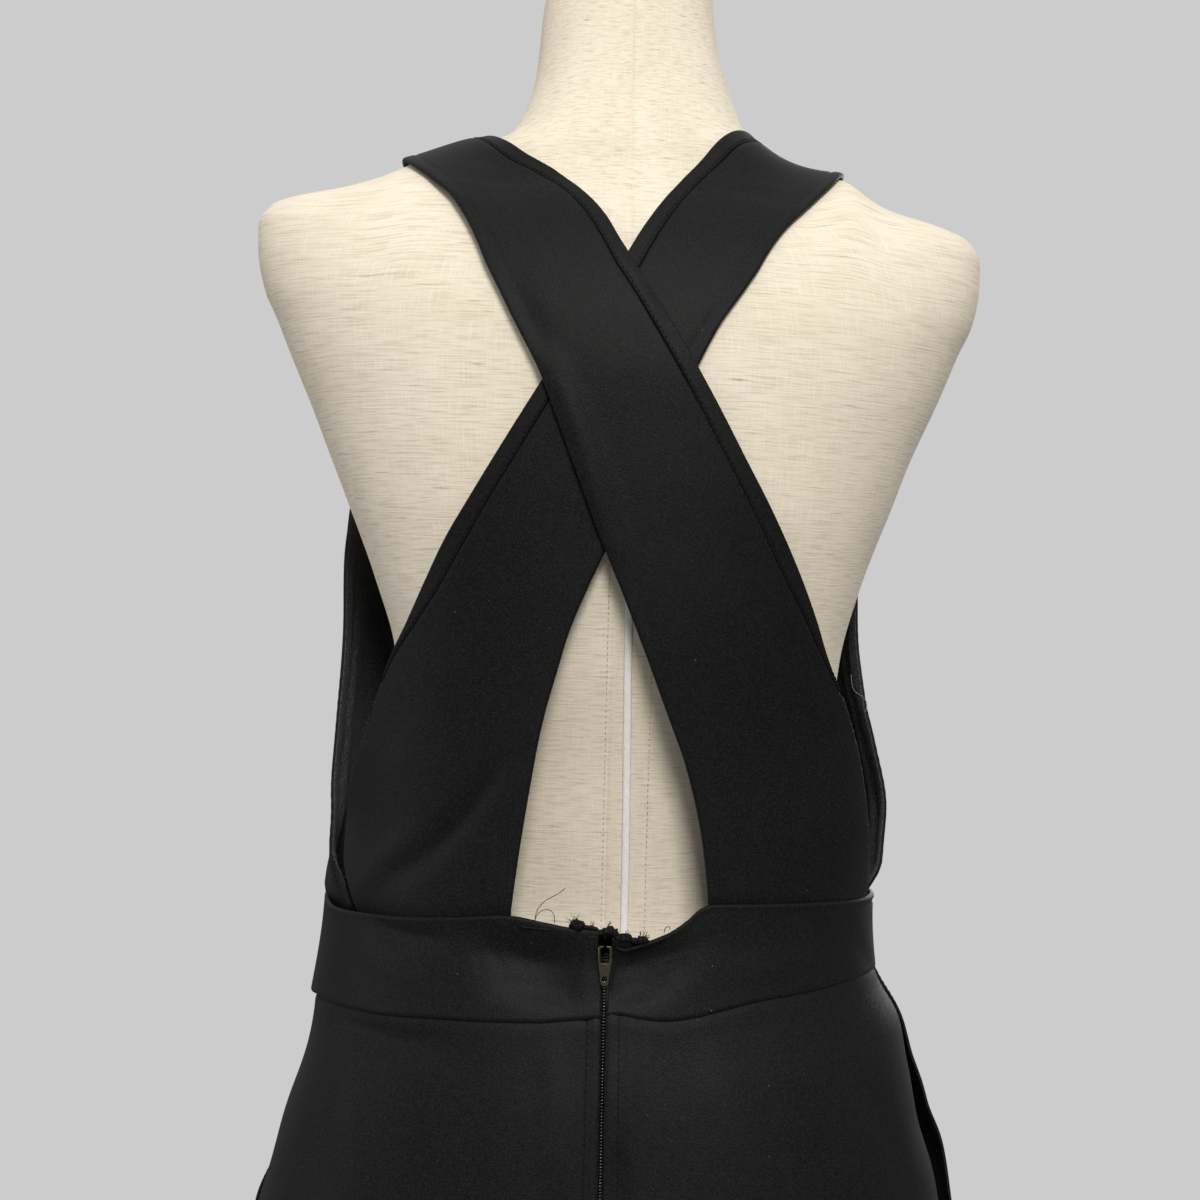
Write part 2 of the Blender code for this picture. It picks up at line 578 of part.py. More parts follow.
def front_halves(seams):
    """The two front bodice halves, from the shoulder seams to the waistband, in a plain deep V."""
    for side, table in (("left", FRONT_LEFT), ("right", FRONT_RIGHT)):
        armhole_top, neck_top = seams[side] if side == "left" else seams[side][::-1]
        turn = np.linspace(0, math.pi / 2, FRONT_COLUMNS)
        share = (turn / turn[-1])[:, None]
        power = 2.0 / FRONT_ROUNDNESS
        rows = [neck_top + SHOULDER_SEAM_STEP + (armhole_top - neck_top) * share]
        for nx, ny, nh, ax, ay, ah, roundness in table:
            line = np.array([nx, ny, nh]) + (np.array([ax, ay, ah]) - (nx, ny, nh)) * share
            arc = np.stack([nx + (ax - nx) * np.sin(turn) ** power, ay + (ny - ay) * np.cos(turn) ** power,
                            nh + (ah - nh) * share[:, 0]], axis=-1)
            rows.append(line * (1 - roundness) + arc * roundness)
        grid = settle(through(np.array(rows), FRONT_ROWS)[::-1])
        wall("front_" + side, sit_on_waist(grid), STRAP_WALL, "scuba")


def zip_angle(h):
    """Angle in radians from the centre back of the zip's line."""
    return np.arctan2(ZIP_X - read(HULL, 1, h), read(HULL, 4, h))


def waistband():
    """Waistband in two back pieces that the zip parts, and one front piece."""
    heights = np.linspace(0, 1, WAISTBAND_ROWS)[:, None]
    middle = -0.025
    zip_line = float(np.degrees(zip_angle(middle)))
    gap = math.degrees(ZIP_HALF_GAP / read(HULL, 4, middle))
    seam = math.degrees(SEAM / 2 / read(HULL, 3, middle))
    for name, start, end, count in (
        ("waistband_back_left", -90.0 + seam, zip_line - gap, 20),
        ("waistband_back_right", zip_line + gap, 90.0 - seam, 20),
        ("waistband_front", 90.0 + seam, 270.0 - seam, 33),
    ):
        angles = np.linspace(start, end, count)[None, :]
        wrapped = np.where(angles > 180, angles - 360, angles)
        top, low = read(WAISTLINE, 1, wrapped), read(WAISTLINE, 2, wrapped) + SEAM / 2
        wall(name, ring(HULL, low + (top - low) * heights, np.radians(angles)), WAIST_WALL, "scuba",
             level=(0, -1))


def leg_section(h, side, share, face):
    """Half a leg's loop, from the inseam at share 0 round the back or the front to the side."""
    inner = CROTCH_X + (SEAM / 2 + SHORTS_WALL) * side
    outer = read(HULL, 1, h) + read(HULL, 3, h) * side
    depth = read(HULL, 4 if face > 0 else 5, h)
    turn = share * math.pi
    power = 2.0 / LEG_ROUNDNESS
    x = (inner + outer) / 2 - (outer - inner) / 2 * np.sign(np.cos(turn)) * np.abs(np.cos(turn)) ** power
    return x, -face * depth * np.abs(np.sin(turn)) ** power


def shorts_grid(side, face):
    """One panel of the shorts, back (face 1) or front (face -1): rows down from the waist seam,
    columns from the centre seam, and below the crotch from the inseam, to the side seam."""
    share = np.linspace(0, 1, SHORTS_COLUMNS)
    grid, seam_x = [], []
    for side_h in np.linspace(-0.055, HEM_H, SHORTS_ROWS):
        turn = np.clip((side_h - ZIP_END_H) / (CROTCH_H - ZIP_END_H), 0, 1) * math.pi / 2
        turning = 0 < turn < math.pi / 2
        centre_h = ZIP_END_H + (CROTCH_H - ZIP_END_H) * math.sin(turn) if turning else side_h
        wrap = 1 - math.cos(turn)
        h = centre_h + (side_h - centre_h) * share
        start = float(zip_angle(side_h)) if face > 0 else 0.0
        gap = ZIP_HALF_GAP if face > 0 and side_h >= ZIP_END_H else SEAM / 2
        start += side * gap / CENTRE_REACH
        angle = start + (side * math.pi / 2 - start) * share
        hull = ring(HULL, h, angle if face > 0 else math.pi - angle)
        leg_x, leg_y = leg_section(h, side, share, face)
        row = np.stack([hull[:, 0] * (1 - wrap) + leg_x * wrap,
                        hull[:, 1] * (1 - wrap) + leg_y * wrap, h], axis=-1)
        room = SHORTS_WALL * (math.sin(turn) - wrap) + RISE_ROOM * math.sin(turn) ** 2 * (wrap < 1)
        row[:, 0] += side * room * (1 - share) ** 2
        depth = float(read(HULL, 4 if face > 0 else 5, side_h))
        row[:, 1] *= depth / np.max(np.abs(row[:, 1]))
        grid.append(row)
        middle = ring(HULL, side_h, float(zip_angle(side_h)) if face > 0 else math.pi)[0]
        seam_x.append(middle * (1 - wrap) + CROTCH_X * wrap)
    grid = np.array(grid)
    grid[..., 1] -= face * SEAM / 2
    top = grid[0]
    shift = read(WAISTLINE, 2, around(top)) - SEAM / 2 - top[:, 2]
    fade = 1 - ramp(0.0, 0.09, top[:, 2][None, :] - grid[..., 2])
    grid[..., 2] += shift[None, :] * fade
    return grid, np.array(seam_x)


def pocket_bulge(h):
    """How far a pocket's front lip gapes at a height, as a share of the most."""
    along = np.clip((h - POCKET_END_H) / (POCKET_TOP_H - POCKET_END_H), 0, 1)
    return np.sin(math.pi * along) ** 1.3 * (1 - 0.65 * ramp(0.35, 1.0, along))


def shorts():
    """Four panels, the front ones gaping at their pockets, with a facing inside each pocket."""
    for side, label in ((-1, "left"), (1, "right")):
        back, back_seam = shorts_grid(side, 1)
        front, front_seam = shorts_grid(side, -1)
        near_side = ramp(0.62, 1.0, np.linspace(0, 1, SHORTS_COLUMNS))[None, :]
        front[..., 0] += side * POCKET_GAPE * pocket_bulge(front[..., 2]) * near_side
        wall("shorts_back_" + label, back, SHORTS_WALL, "scuba", seam_x=back_seam, side=side)
        wall("shorts_front_" + label, front, SHORTS_WALL, "scuba", seam_x=front_seam, side=side)
        heights = np.linspace(*FACING_HEIGHTS, 12)[:, None]
        angles = side * np.radians(np.linspace(*FACING_ARC, 6))[None, :]
        facing = ring(HULL, heights, angles, outset=-FACING_WALL - FACING_DEPTH)
        facing[..., 0] += side * 0.0004 * pocket_bulge(heights)
        wall("pocket_facing_" + label, facing, FACING_WALL, "scuba")


def zip_frame(h):
    """A point of the zip's line on the hull, the way across it and the way out of it."""
    here = ring(HULL, h, zip_angle(h))
    across = ring(HULL, h, zip_angle(h) + 0.01) - here
    across /= np.linalg.norm(across)
    up = ring(HULL, h + 0.002, zip_angle(h + 0.002)) - here
    out = np.cross(across, up)
    return here, across, out / np.linalg.norm(out)


def zip_strip():
    """Zip tape behind the panels' edges, with the closed coil as a ridge in the gap between them."""
    back, front, ridge = -0.0013, -0.0004, 0.0014
    section = [(-TAPE_HALF_WIDTH, back), (-COIL_HALF_WIDTH, back), (COIL_HALF_WIDTH, back),
               (TAPE_HALF_WIDTH, back), (TAPE_HALF_WIDTH, front), (COIL_HALF_WIDTH, front),
               (COIL_HALF_WIDTH, ridge), (-COIL_HALF_WIDTH, ridge), (-COIL_HALF_WIDTH, front),
               (-TAPE_HALF_WIDTH, front)]
    rings = []
    for h in np.linspace(ZIP_FOOT_H, ZIP_TOP_H, 14):
        here, across, out = zip_frame(h)
        rings.append(np.array([here + across * x + out * y for x, y in section]) + (0, 0, WAIST_Z))
    stack("zip", rings, "zip_cloth")


def block(name, low, high, look, bevel=0.0):
    """A box between two corners, with its edges rounded."""
    verts = [(x, y, z) for x in (low[0], high[0]) for y in (low[1], high[1]) for z in (low[2], high[2])]
    faces = [(0, 1, 3, 2), (4, 6, 7, 5), (0, 4, 5, 1), (2, 3, 7, 6), (0, 2, 6, 4), (1, 5, 7, 3)]
    thing = add_mesh(name, verts, faces, look)
    if bevel:
        rounding = thing.modifiers.new("rounding", "BEVEL")
        rounding.width, rounding.segments = bevel, 2
    return thing


def combine(thing, other, operation):
    """Joins a second shape to a piece or cuts it out, and keeps the second as a guide only."""
    change = thing.modifiers.new(operation.lower(), "BOOLEAN")
    change.operation, change.solver, change.object = operation, "EXACT", other
    other.hide_render, other.display_type = True, "WIRE"


def extruded(name, outline, flat, low, high, look):
    """A closed outline of height and either x or y made into a solid between two places along the
    other of them: flat is 0 for an outline in X and Z, 1 for one in Y and Z."""
    count = len(outline)
    verts = [(along, w, z) if flat else (w, along, z) for along in (low, high) for w, z in outline]
    faces = [(i, (i + 1) % count, (i + 1) % count + count, i + count) for i in range(count)]
    faces += [tuple(range(count)), tuple(range(2 * count - 1, count - 1, -1))]
    return add_mesh(name, verts, faces, look)


def slider_and_pull():
    """Zip slider at the top of its travel, and the pull tab that hangs from the slider's bail."""
    here, _, out = zip_frame(SLIDER_H)
    place = here + (0.0, 0.0, WAIST_Z)
    tilt = math.atan2(out[2], -out[1])
    face = SLIDER_LOW[1]
    slider = block("zip_slider", SLIDER_LOW, SLIDER_HIGH, "gunmetal", SLIDER_ROUNDING)
    keel = block("slider_keel", KEEL_LOW, KEEL_HIGH, "gunmetal")
    arch = [(face + y, z) for y, z in BAIL_OUTER + BAIL_INNER]
    bail = extruded("slider_bail", arch, 1, -BAIL_HALF_WIDTH, BAIL_HALF_WIDTH, "gunmetal")
    for thing in (slider, keel, bail):
        thing.location, thing.rotation_euler = place, (-tilt, 0.0, 0.0)
    combine(slider, keel, "UNION")
    combine(slider, bail, "UNION")

    bar = TAB_THICKNESS / 2
    seat_y, seat_z = face + TAB_REST[0], TAB_REST[1] + bar + FIT
    axis = place + (0.0, seat_y * math.cos(tilt) + seat_z * math.sin(tilt),
                    seat_z * math.cos(tilt) - seat_y * math.sin(tilt))
    sides = [(TAB_HALF_TOP - 0.0006, bar), (TAB_HALF_TOP, bar - 0.0006), (TAB_HALF_TOP, -TAB_SHOULDER),
             (TAB_HALF_END + 0.0004, -TAB_NECK), (TAB_HALF_END, -TAB_LENGTH + 0.0016),
             (TAB_HALF_END - 0.0011, -TAB_LENGTH + bar)]
    outline = sides + [(-across, up) for across, up in reversed(sides)]
    tab = extruded("pull_tab", outline, 0, -bar, bar, "gunmetal")
    deep = 3 * TAB_THICKNESS
    window = block("tab_window", (-WINDOW_HALF_WIDTH, -deep, -WINDOW_END), (WINDOW_HALF_WIDTH, deep, -bar),
                   "gunmetal")
    angles = np.linspace(0, 2 * math.pi, 12, endpoint=False)
    rim = [(HOLE_RADIUS * math.cos(t), HOLE_RADIUS * math.sin(t) - HOLE_DROP) for t in angles]
    hole = extruded("tab_hole", rim, 0, -deep, deep, "gunmetal")
    for thing in (tab, window, hole):
        thing.location = axis
    combine(tab, window, "DIFFERENCE")
    combine(tab, hole, "DIFFERENCE")


def main():
    """Builds the whole object."""
    clear_scene()
    dress_form()
    front_halves(straps())
    waistband()
    shorts()
    zip_strip()
    slider_and_pull()


main()
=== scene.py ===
"""The looks of the romper and its linen dress form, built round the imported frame.

Metres, +Z up, the frame's own axes: the back of the garment faces -Y and the wearer's left is -X.
The cloth repeats the solids' tables and functions with finer grids, and adds rounded edges, creases,
stitching, zip teeth, frayed edges, threads and the surface of each material.
"""
import math

import bmesh
import bpy
import numpy as np
from mathutils import Matrix, Vector


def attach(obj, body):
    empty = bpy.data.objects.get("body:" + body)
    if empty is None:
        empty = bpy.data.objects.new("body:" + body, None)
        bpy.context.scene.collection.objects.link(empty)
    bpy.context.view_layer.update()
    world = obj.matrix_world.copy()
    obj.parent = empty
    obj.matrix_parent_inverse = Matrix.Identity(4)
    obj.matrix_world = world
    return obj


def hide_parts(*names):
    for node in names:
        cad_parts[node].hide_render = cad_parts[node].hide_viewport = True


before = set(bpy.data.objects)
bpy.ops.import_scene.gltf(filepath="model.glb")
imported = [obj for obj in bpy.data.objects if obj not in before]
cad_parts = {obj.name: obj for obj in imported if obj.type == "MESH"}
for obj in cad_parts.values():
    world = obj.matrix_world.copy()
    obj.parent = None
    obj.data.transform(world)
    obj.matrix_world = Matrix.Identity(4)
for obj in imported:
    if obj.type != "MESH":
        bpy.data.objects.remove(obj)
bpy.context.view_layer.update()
BODY = "form"

# Sizes of the solids, as in the part's own source
WAIST_Z = 1.030
STRAP_WALL = 0.0022
BAND_WALL = 0.0015
WAIST_WALL = 0.0026
SHORTS_WALL = 0.0016
SEAM = 0.0004
BODICE_SEAM = 0.0007
FIT = 0.0003
CROSS_LIFT = 0.0030
CROSS_START = (0.060, 0.150)
CROSS_END = (0.350, 0.392)
BAND_WIDTH = 0.0105
BAND_LEAST = 0.08
ROUNDNESS = 2.3
LEG_ROUNDNESS = 2.6
FRONT_ROUNDNESS = 2.2
SHOULDER_SEAM_STEP = np.array([0.0, 0.0005, -0.0003])
SHOULDER_DROP = 0.030
DROP_START = (0.150, 0.330)
DROP_END = (0.400, 0.440)
ARC_H = 0.330
ARC_R = 0.070

ZIP_X = -0.0055
ZIP_TOP_H = -0.006
ZIP_END_H = -0.205
ZIP_FOOT_H = -0.190
ZIP_HALF_GAP = 0.0019
CENTRE_REACH = 0.125
TAPE_HALF_WIDTH = 0.012

CROTCH_H = -0.300
CROTCH_X = 0.0235
RISE_ROOM = 0.4
HEM_H = -0.385
POCKET_TOP_H = -0.050
POCKET_END_H = -0.215
POCKET_GAPE = 0.0085
FACING_WALL = 0.0012
FACING_DEPTH = 0.0014
FACING_ARC = (78.0, 106.0)
FACING_HEIGHTS = (-0.058, -0.227)

STRAP_ROWS = 150
STRAP_COLUMNS = 28
BAND_COLUMNS = 7
FRONT_ROWS = 130
FRONT_COLUMNS = 60
WAISTBAND_ROWS = 20
SHORTS_ROWS = 110
SHORTS_COLUMNS = 60

NECK_H = 0.518
PLACKET_X = (-0.0064, 0.0137)

# Studio
CAMERA_PLACE = (-0.012, -1.26, 1.191)
CAMERA_ROLL = math.radians(1.3)
CAMERA_LENS = 68.7
FLOOR_RADIUS = 2.6
BACKDROP = (0.604, 0.604, 0.604)
AMBIENT = (0.04, 0.90)
KEY_POWER = 190.0
LEFT_POWER = 11.0
RIGHT_POWER = 2.5
FRONT_POWER = 24.0

# Colours
LINT = (0.24, 0.24, 0.25)
BRASS = ((0.085, 0.072, 0.048), (0.200, 0.170, 0.112))

# The dress form, from its flat underside to the neck, in millimetres: height, centre x and y, half
# width, back and front depth
FORM = np.array([
    (-270, -2, 0, 158, 98, 88), (-258, -2, 0, 166, 107, 94), (-200, -3, 0, 169, 118, 95),
    (-150, -3, 0, 162, 112, 93), (-100, -3, 0, 149, 100, 90), (-50, -3, 0, 130, 85, 87),
    (0, -3, 0, 118, 75, 85), (60, -3, 0, 119, 82, 92), (130, -3, 0, 126.5, 98, 108),
    (170, -4, 0, 138, 106, 121), (214.5, -5, 0, 155, 112, 112), (245, -6, 0, 167, 112.5, 98),
    (272.5, -6, 0, 178.5, 112, 84), (302.7, -6, 0, 189, 108, 70), (322, -6, 0, 196, 102, 62),
    (345, -6, 0, 199, 92, 53), (359, -6, 0, 198.5, 83.5, 48), (369.5, -6, 1, 192, 76, 45),
    (375.7, -6, 2, 178, 72, 44), (380, -5, 2, 160, 69, 43), (386.5, -4, 3, 138, 66, 42),
    (393, -3, 4, 119, 64, 42), (402, -2, 5, 97, 62, 42), (411, -1, 7, 77, 60, 43),
    (418.5, -1, 9, 65.5, 58, 43), (431, -1, 12, 59, 54, 44), (447, -1, 15, 53, 50, 44),
    (469, -1, 19, 47.6, 46.5, 44), (491, -1, 23, 44.8, 44.5, 43), (520, -1, 28, 43.5, 43, 42),
]) / 1000

# The hull that the romper's cloth lies on, in the same columns: it spans the small of the back and
# hangs clear of the hips
HULL = np.array([
    (-400, -3, 0, 231, 152, 145), (-300, -3, 0, 213, 149, 136), (-220, -3, 0, 199, 145, 127),
    (-165, -3, 0, 188.5, 140, 120), (-115, -5, 0, 174.5, 133, 114), (-55, -9.5, 0, 153, 121, 107),
    (0, -9, 0, 147, 113, 102), (50, -5, 0, 148, 112, 108), (100, -6, 0, 145.5, 113, 115),
    (130, -6, 0, 145, 114, 119), (170, -6, 0, 149, 115.5, 124), (214.5, -6, 0, 159, 116, 116),
    (245, -6, 0, 170, 115.5, 101), (272.5, -6, 0, 181.5, 114.5, 87), (302.7, -6, 0, 192, 110, 73),
    (322, -6, 0, 199, 104, 65), (345, -6, 0, 202, 93.8, 56), (359, -6, 0, 201, 85.3, 51),
    (370.6, -6, 1, 193.8, 77.6, 48), (376.4, -6, 2, 178.5, 73.6, 46), (380.9, -5, 2, 160.5, 70.6, 45.5),
    (387.3, -4, 3, 138.6, 67.6, 44.5), (393.8, -3, 4, 119.7, 65.6, 44.5),
    (402.8, -2, 5, 97.7, 63.6, 44.5), (411.8, -1, 7, 77.7, 61.6, 45.5), (419.5, -1, 10, 66.2, 59, 46),
    (433, -1, 13, 60, 55, 47),
]) / 1000

# Back straps, a row for each station from the waistband to the shoulder seam: x and run of the edge
# towards -X, then of the edge towards +X, in millimetres, and the part of the band's width there. The
# run is the height up to ARC_H and then the arc over the shoulder.
STRAP_UNITS = (1000, 1000, 1000, 1000, 1)
STRAP_LEFT_SHOULDER = np.array([
    (45.7, 9.5, 133, 7.3, 0), (43.2, 31.6, 131.5, 33, 0), (39.2, 54, 128.2, 60, 0),
    (32.5, 79, 122.8, 84, 0), (22.9, 104, 114.2, 109, 0.05), (12.5, 131, 103.5, 133, 0.25),
    (0.5, 161, 95.5, 156, 0.6), (-9.5, 185, 86.2, 179, 0.9), (-20.5, 214, 73.5, 206, 1),
    (-32.5, 245, 59, 233, 1), (-44.6, 274.5, 43.4, 262, 1), (-56.3, 296, 29, 287, 0.98),
    (-68.8, 320, 13, 313, 0.95), (-80, 341, -2.2, 335, 0.92), (-91.3, 358, -18.5, 356, 0.9),
    (-105, 374, -39.5, 377, 0.9), (-116.5, 392, -59, 394, 0.9), (-123, 414, -73.5, 413, 0.9),
    (-125.5, 440, -81.5, 439, 0.9), (-125, 465, -83, 465, 0.9),
]) / STRAP_UNITS
STRAP_RIGHT_SHOULDER = np.array([
    (-141, -4.5, -53.2, 2.2, 0), (-150, 20, -50.7, 24, 0), (-147.5, 45.5, -48.1, 44, 0),
    (-140, 68, -45, 65, 0), (-133.1, 84.5, -41.5, 87, 0), (-126.2, 107, -37.8, 105, 0.03),
    (-119, 128.6, -32.7, 124, 0.18), (-110, 148, -26.8, 145, 0.5), (-101.2, 168, -18.5, 166, 0.85),
    (-91.3, 189.6, -9.5, 186, 1), (-79.7, 210, 3, 212, 1), (-66.4, 232.6, 14.5, 237, 1),
    (-54.2, 253, 24.8, 259, 1), (-42.1, 273, 35.8, 282, 0.98), (-30, 293, 45.5, 301, 0.95),
    (-16.5, 314, 56.3, 317, 0.93), (-2.2, 335, 68.1, 335, 0.92), (11.8, 355, 81.4, 354.6, 0.9),
    (24.7, 373, 95, 372, 0.9), (39.5, 391, 106.5, 390, 0.9), (53.5, 410, 113, 412, 0.9),
    (66, 437, 116, 438, 0.9), (72, 465, 117, 465, 0.9),
]) / STRAP_UNITS

# Front bodice halves below the shoulder seam: neck edge x, y, height, armhole edge x, y, height, in
# millimetres, and how round the section is between them
FRONT_UNITS = (1000, 1000, 1000, 1000, 1000, 1000, 1)
FRONT_LEFT = np.array([
    (-78, 50, 365, -127, 46, 348, 0.3), (-67, 70, 325, -134, 60, 302, 0.45),
    (-53, 91, 283, -141, 62, 256, 0.6), (-42, 115, 235, -151.5, 50, 213.5, 0.75),
    (-32.5, 130, 188, -152.5, 35, 168, 0.88), (-23.5, 131, 140, -153.5, 18, 123, 0.95),
    (-15.5, 125, 92, -154.5, 2, 83, 1), (-8.5, 117, 50, -155, -13, 48, 1),
    (-3.5, 110, 20, -153, -31, 21, 1), (-0.6, 105, 0.5, -144, -44, -3.5, 1),
]) / FRONT_UNITS
FRONT_RIGHT = np.array([
    (71, 50, 365, 121, 46, 346, 0.3), (62, 70, 325, 128, 60, 300, 0.45),
    (52, 91, 283, 133, 64, 254, 0.6), (41.5, 115, 235, 134.5, 60, 210, 0.75),
    (32, 130, 188, 133, 50, 165, 0.88), (23.5, 131, 140, 133.5, 34, 123, 0.95),
    (15.5, 125, 92, 141.5, 16, 83.5, 1), (8.5, 117, 50, 147, -2, 48, 1),
    (3.5, 110, 20, 143, -20, 23, 1), (0.6, 105, 0.5, 138, -28, 8, 1),
]) / FRONT_UNITS

# Waistband and waist seam round the body: angle from the centre back (degrees, wearer's right
# positive), height of the top edge, height of the seam below it (millimetres)
WAISTLINE = np.array([
    (-180, 0, -52), (-120, 1, -53.5), (-90, -0.5, -56), (-70, -4.5, -52), (-51, -3, -53),
    (-37, -1, -51.8), (-22.5, 1.6, -51.2), (-13.7, -1, -50.8), (-6, -3.5, -49.2), (0.4, -4.3, -47.8),
    (5.5, -8, -46.1), (10.5, -9.6, -47.8), (16.5, -6, -48.7), (22, 1.2, -47.6), (25, 7, -46.3),
    (28, 9.2, -44.8), (38, 9, -40), (52, 8.4, -36.7), (68, 7, -33.8), (90, 6, -36), (125, 3, -45),
    (180, 0, -52),
]) / (1, 1000, 1000)


def cubic(values, slopes, i, span, t):
    """A point of the smooth curve through rows of values, a share t of the way on from row i."""
    rise = values[i + 1] - values[i]
    start, end = slopes[i] * span, slopes[i + 1] * span
    return values[i] + t * (start + t * (3 * rise - 2 * start - end + t * (start + end - 2 * rise)))


def read(table, column, at):
    """A column's value at a key of the first column, on a smooth curve that never overshoots a row."""
    keys, values = table[:, 0], table[:, column]
    steps = np.diff(values) / np.diff(keys)
    slopes = np.zeros(len(keys))
    same = steps[:-1] * steps[1:] > 0
    slopes[1:-1][same] = 2 * steps[:-1][same] * steps[1:][same] / (steps[:-1] + steps[1:])[same]
    slopes[0], slopes[-1] = steps[0], steps[-1]
    at = np.clip(at, keys[0], keys[-1])
    i = np.clip(np.searchsorted(keys, at) - 1, 0, len(keys) - 2)
    span = keys[i + 1] - keys[i]
    return cubic(values, slopes, i, span, (at - keys[i]) / span)


def through(points, count):
    """Evenly spread points on a smooth curve through the rows of an array, along its first axis."""
    points = np.asarray(points, float)
    flat = points.reshape(len(points), -1)
    along = np.concatenate([[0.0], np.cumsum(np.linalg.norm(np.diff(flat, axis=0), axis=1))])
    slopes = np.gradient(flat, along, axis=0)
    at = np.linspace(0.0, along[-1], count)
    i = np.clip(np.searchsorted(along, at) - 1, 0, len(along) - 2)
    span = (along[i + 1] - along[i])[:, None]
    curve = cubic(flat, slopes, i, span, (at - along[i])[:, None] / span)
    return curve.reshape(count, *points.shape[1:])


def ramp(low, high, at):
    """Rises smoothly from 0 at low to 1 at high."""
    t = np.clip((np.asarray(at, float) - low) / (high - low), 0.0, 1.0)
    return t * t * (3 - 2 * t)


def drop(x, h):
    """How far the shoulder line lies lower at x than in the tables: it drops to the wearer's right."""
    return SHOULDER_DROP * x * ramp(*DROP_START, h) * (1 - ramp(*DROP_END, h))


def ring(table, h, angle, outset=0.0):
    """A point on a table's section, at an angle in radians from the centre back."""
    angle, h = np.broadcast_arrays(np.asarray(angle, float), np.asarray(h, float))
    sine, cosine = np.sin(angle), np.cos(angle)
    half = read(table, 3, h) + outset
    depth = np.where(cosine > 0, read(table, 4, h), read(table, 5, h)) + outset
    power = ROUNDNESS
    reach = ((np.abs(sine) / half) ** power + (np.abs(cosine) / depth) ** power) ** (-1 / power)
    return np.stack([read(table, 1, h) + reach * sine, read(table, 2, h) - reach * cosine, h], axis=-1)


def outside(table, x, y, h):
    """Below 0 inside a table's body, 0 on its surface and above 0 outside."""
    level = h + drop(x, h)
    across = np.abs(x - read(table, 1, level)) / read(table, 3, level)
    y = y - read(table, 2, level)
    depth = np.where(y < 0, read(table, 4, level), read(table, 5, level))
    beyond = ramp(table[-1][0] - 0.001, table[-1][0] + 0.02, level) * 4
    return across ** ROUNDNESS + (np.abs(y) / depth) ** ROUNDNESS - 1 + beyond


def over(x, run):
    """The hull's surface at x and a run: up the back, in an arc over the shoulder and down the front."""
    x, run = np.broadcast_arrays(np.asarray(x, float), np.asarray(run, float))
    turn = np.clip((run - ARC_H) / ARC_R, 0.0, math.pi)
    front_drop = np.maximum(run - ARC_H - math.pi * ARC_R, 0.0)
    start_h = np.minimum(run, ARC_H) - front_drop
    near, far = np.full(x.shape, 0.002), np.full(x.shape, 0.30)
    for _ in range(40):
        middle = (near + far) / 2
        inside = outside(HULL, x, -middle * np.cos(turn), start_h + middle * np.sin(turn)) < 0
        near, far = np.where(inside, middle, near), np.where(inside, far, middle)
    return np.stack([x, -near * np.cos(turn), start_h + near * np.sin(turn)], axis=-1)


def settle(grid):
    """Moves the points that lie inside the hull out to its surface."""
    moved = grid.copy()
    step = 1e-5
    for _ in range(6):
        x, y, h = moved[..., 0], moved[..., 1], moved[..., 2]
        value = outside(HULL, x, y, h)
        slope = np.stack([outside(HULL, x + step, y, h) - value, outside(HULL, x, y + step, h) - value,
                          outside(HULL, x, y, h + step) - value], axis=-1) / step
        shift = slope * (-value / np.sum(slope * slope, axis=-1))[..., None]
        moved = np.where((value < 0)[..., None], moved + shift, moved)
    return moved


def outward(grid):
    """Unit normals of a grid of points, turned away from the body's axis."""
    along, across = np.gradient(grid, axis=0), np.gradient(grid, axis=1)
    normals = np.cross(along, across)
    normals /= np.linalg.norm(normals, axis=-1, keepdims=True)
    side = grid.reshape(-1, 3).mean(axis=0) * (1.0, 1.0, 0.0)
    return normals * np.sign(np.sum(normals.reshape(-1, 3).mean(axis=0) * side))


def strap_grids(stations, band_side):
    """Grids of a strap's panel and of its edge band, both on the hull, as x and run turned to points."""
    table = through(stations * (1, 1, 1, 1, 0.02), STRAP_ROWS)
    share = table[:, 4] / 0.02
    low, high = table[:, 0:2], table[:, 2:4]
    span = np.linalg.norm(high - low, axis=1)
    banded = share > BAND_LEAST
    cut = np.where(banded, share * BAND_WIDTH / span, 0.0)
    seam = np.where(banded, SEAM / span, 0.0)

    def between(start, end, columns):
        shares = start + (end - start) * np.linspace(0, 1, columns)[:, None]
        return np.stack([over(*(low + (high - low) * t[:, None]).T) for t in shares], axis=1)

    none = 0 * cut
    if band_side < 0:
        panel, edge = (cut + seam, 1 + none), (none, cut)
    else:
        panel, edge = (none, 1 - cut - seam), (1 - cut, 1 + none)
    return between(*panel, STRAP_COLUMNS), between(*edge, BAND_COLUMNS)[banded]


def cross_lift(grid):
    """How far the upper strap stands off the lower one: all of it where they cross."""
    h = grid[..., 2]
    return CROSS_LIFT * ramp(*CROSS_START, h) * (1 - ramp(*CROSS_END, h))


def around(points):
    """Angle in degrees of points round the waist, from the centre back."""
    centre = float(read(HULL, 1, 0.0))
    return np.degrees(np.arctan2(points[..., 0] - centre, -points[..., 1]))


def sit_on_waist(grid):
    """Brings a bodice piece's lower edge to just above the waistband's top edge."""
    shift = read(WAISTLINE, 1, around(grid[0])) + BODICE_SEAM - grid[0, :, 2]
    fade = 1 - ramp(0.0, 0.05, grid[..., 2] - grid[0, :, 2])
    moved = grid.copy()
    moved[..., 2] += shift * fade
    return moved


def zip_angle(h):
    """Angle in radians from the centre back of the zip's line."""
    return np.arctan2(ZIP_X - read(HULL, 1, h), read(HULL, 4, h))


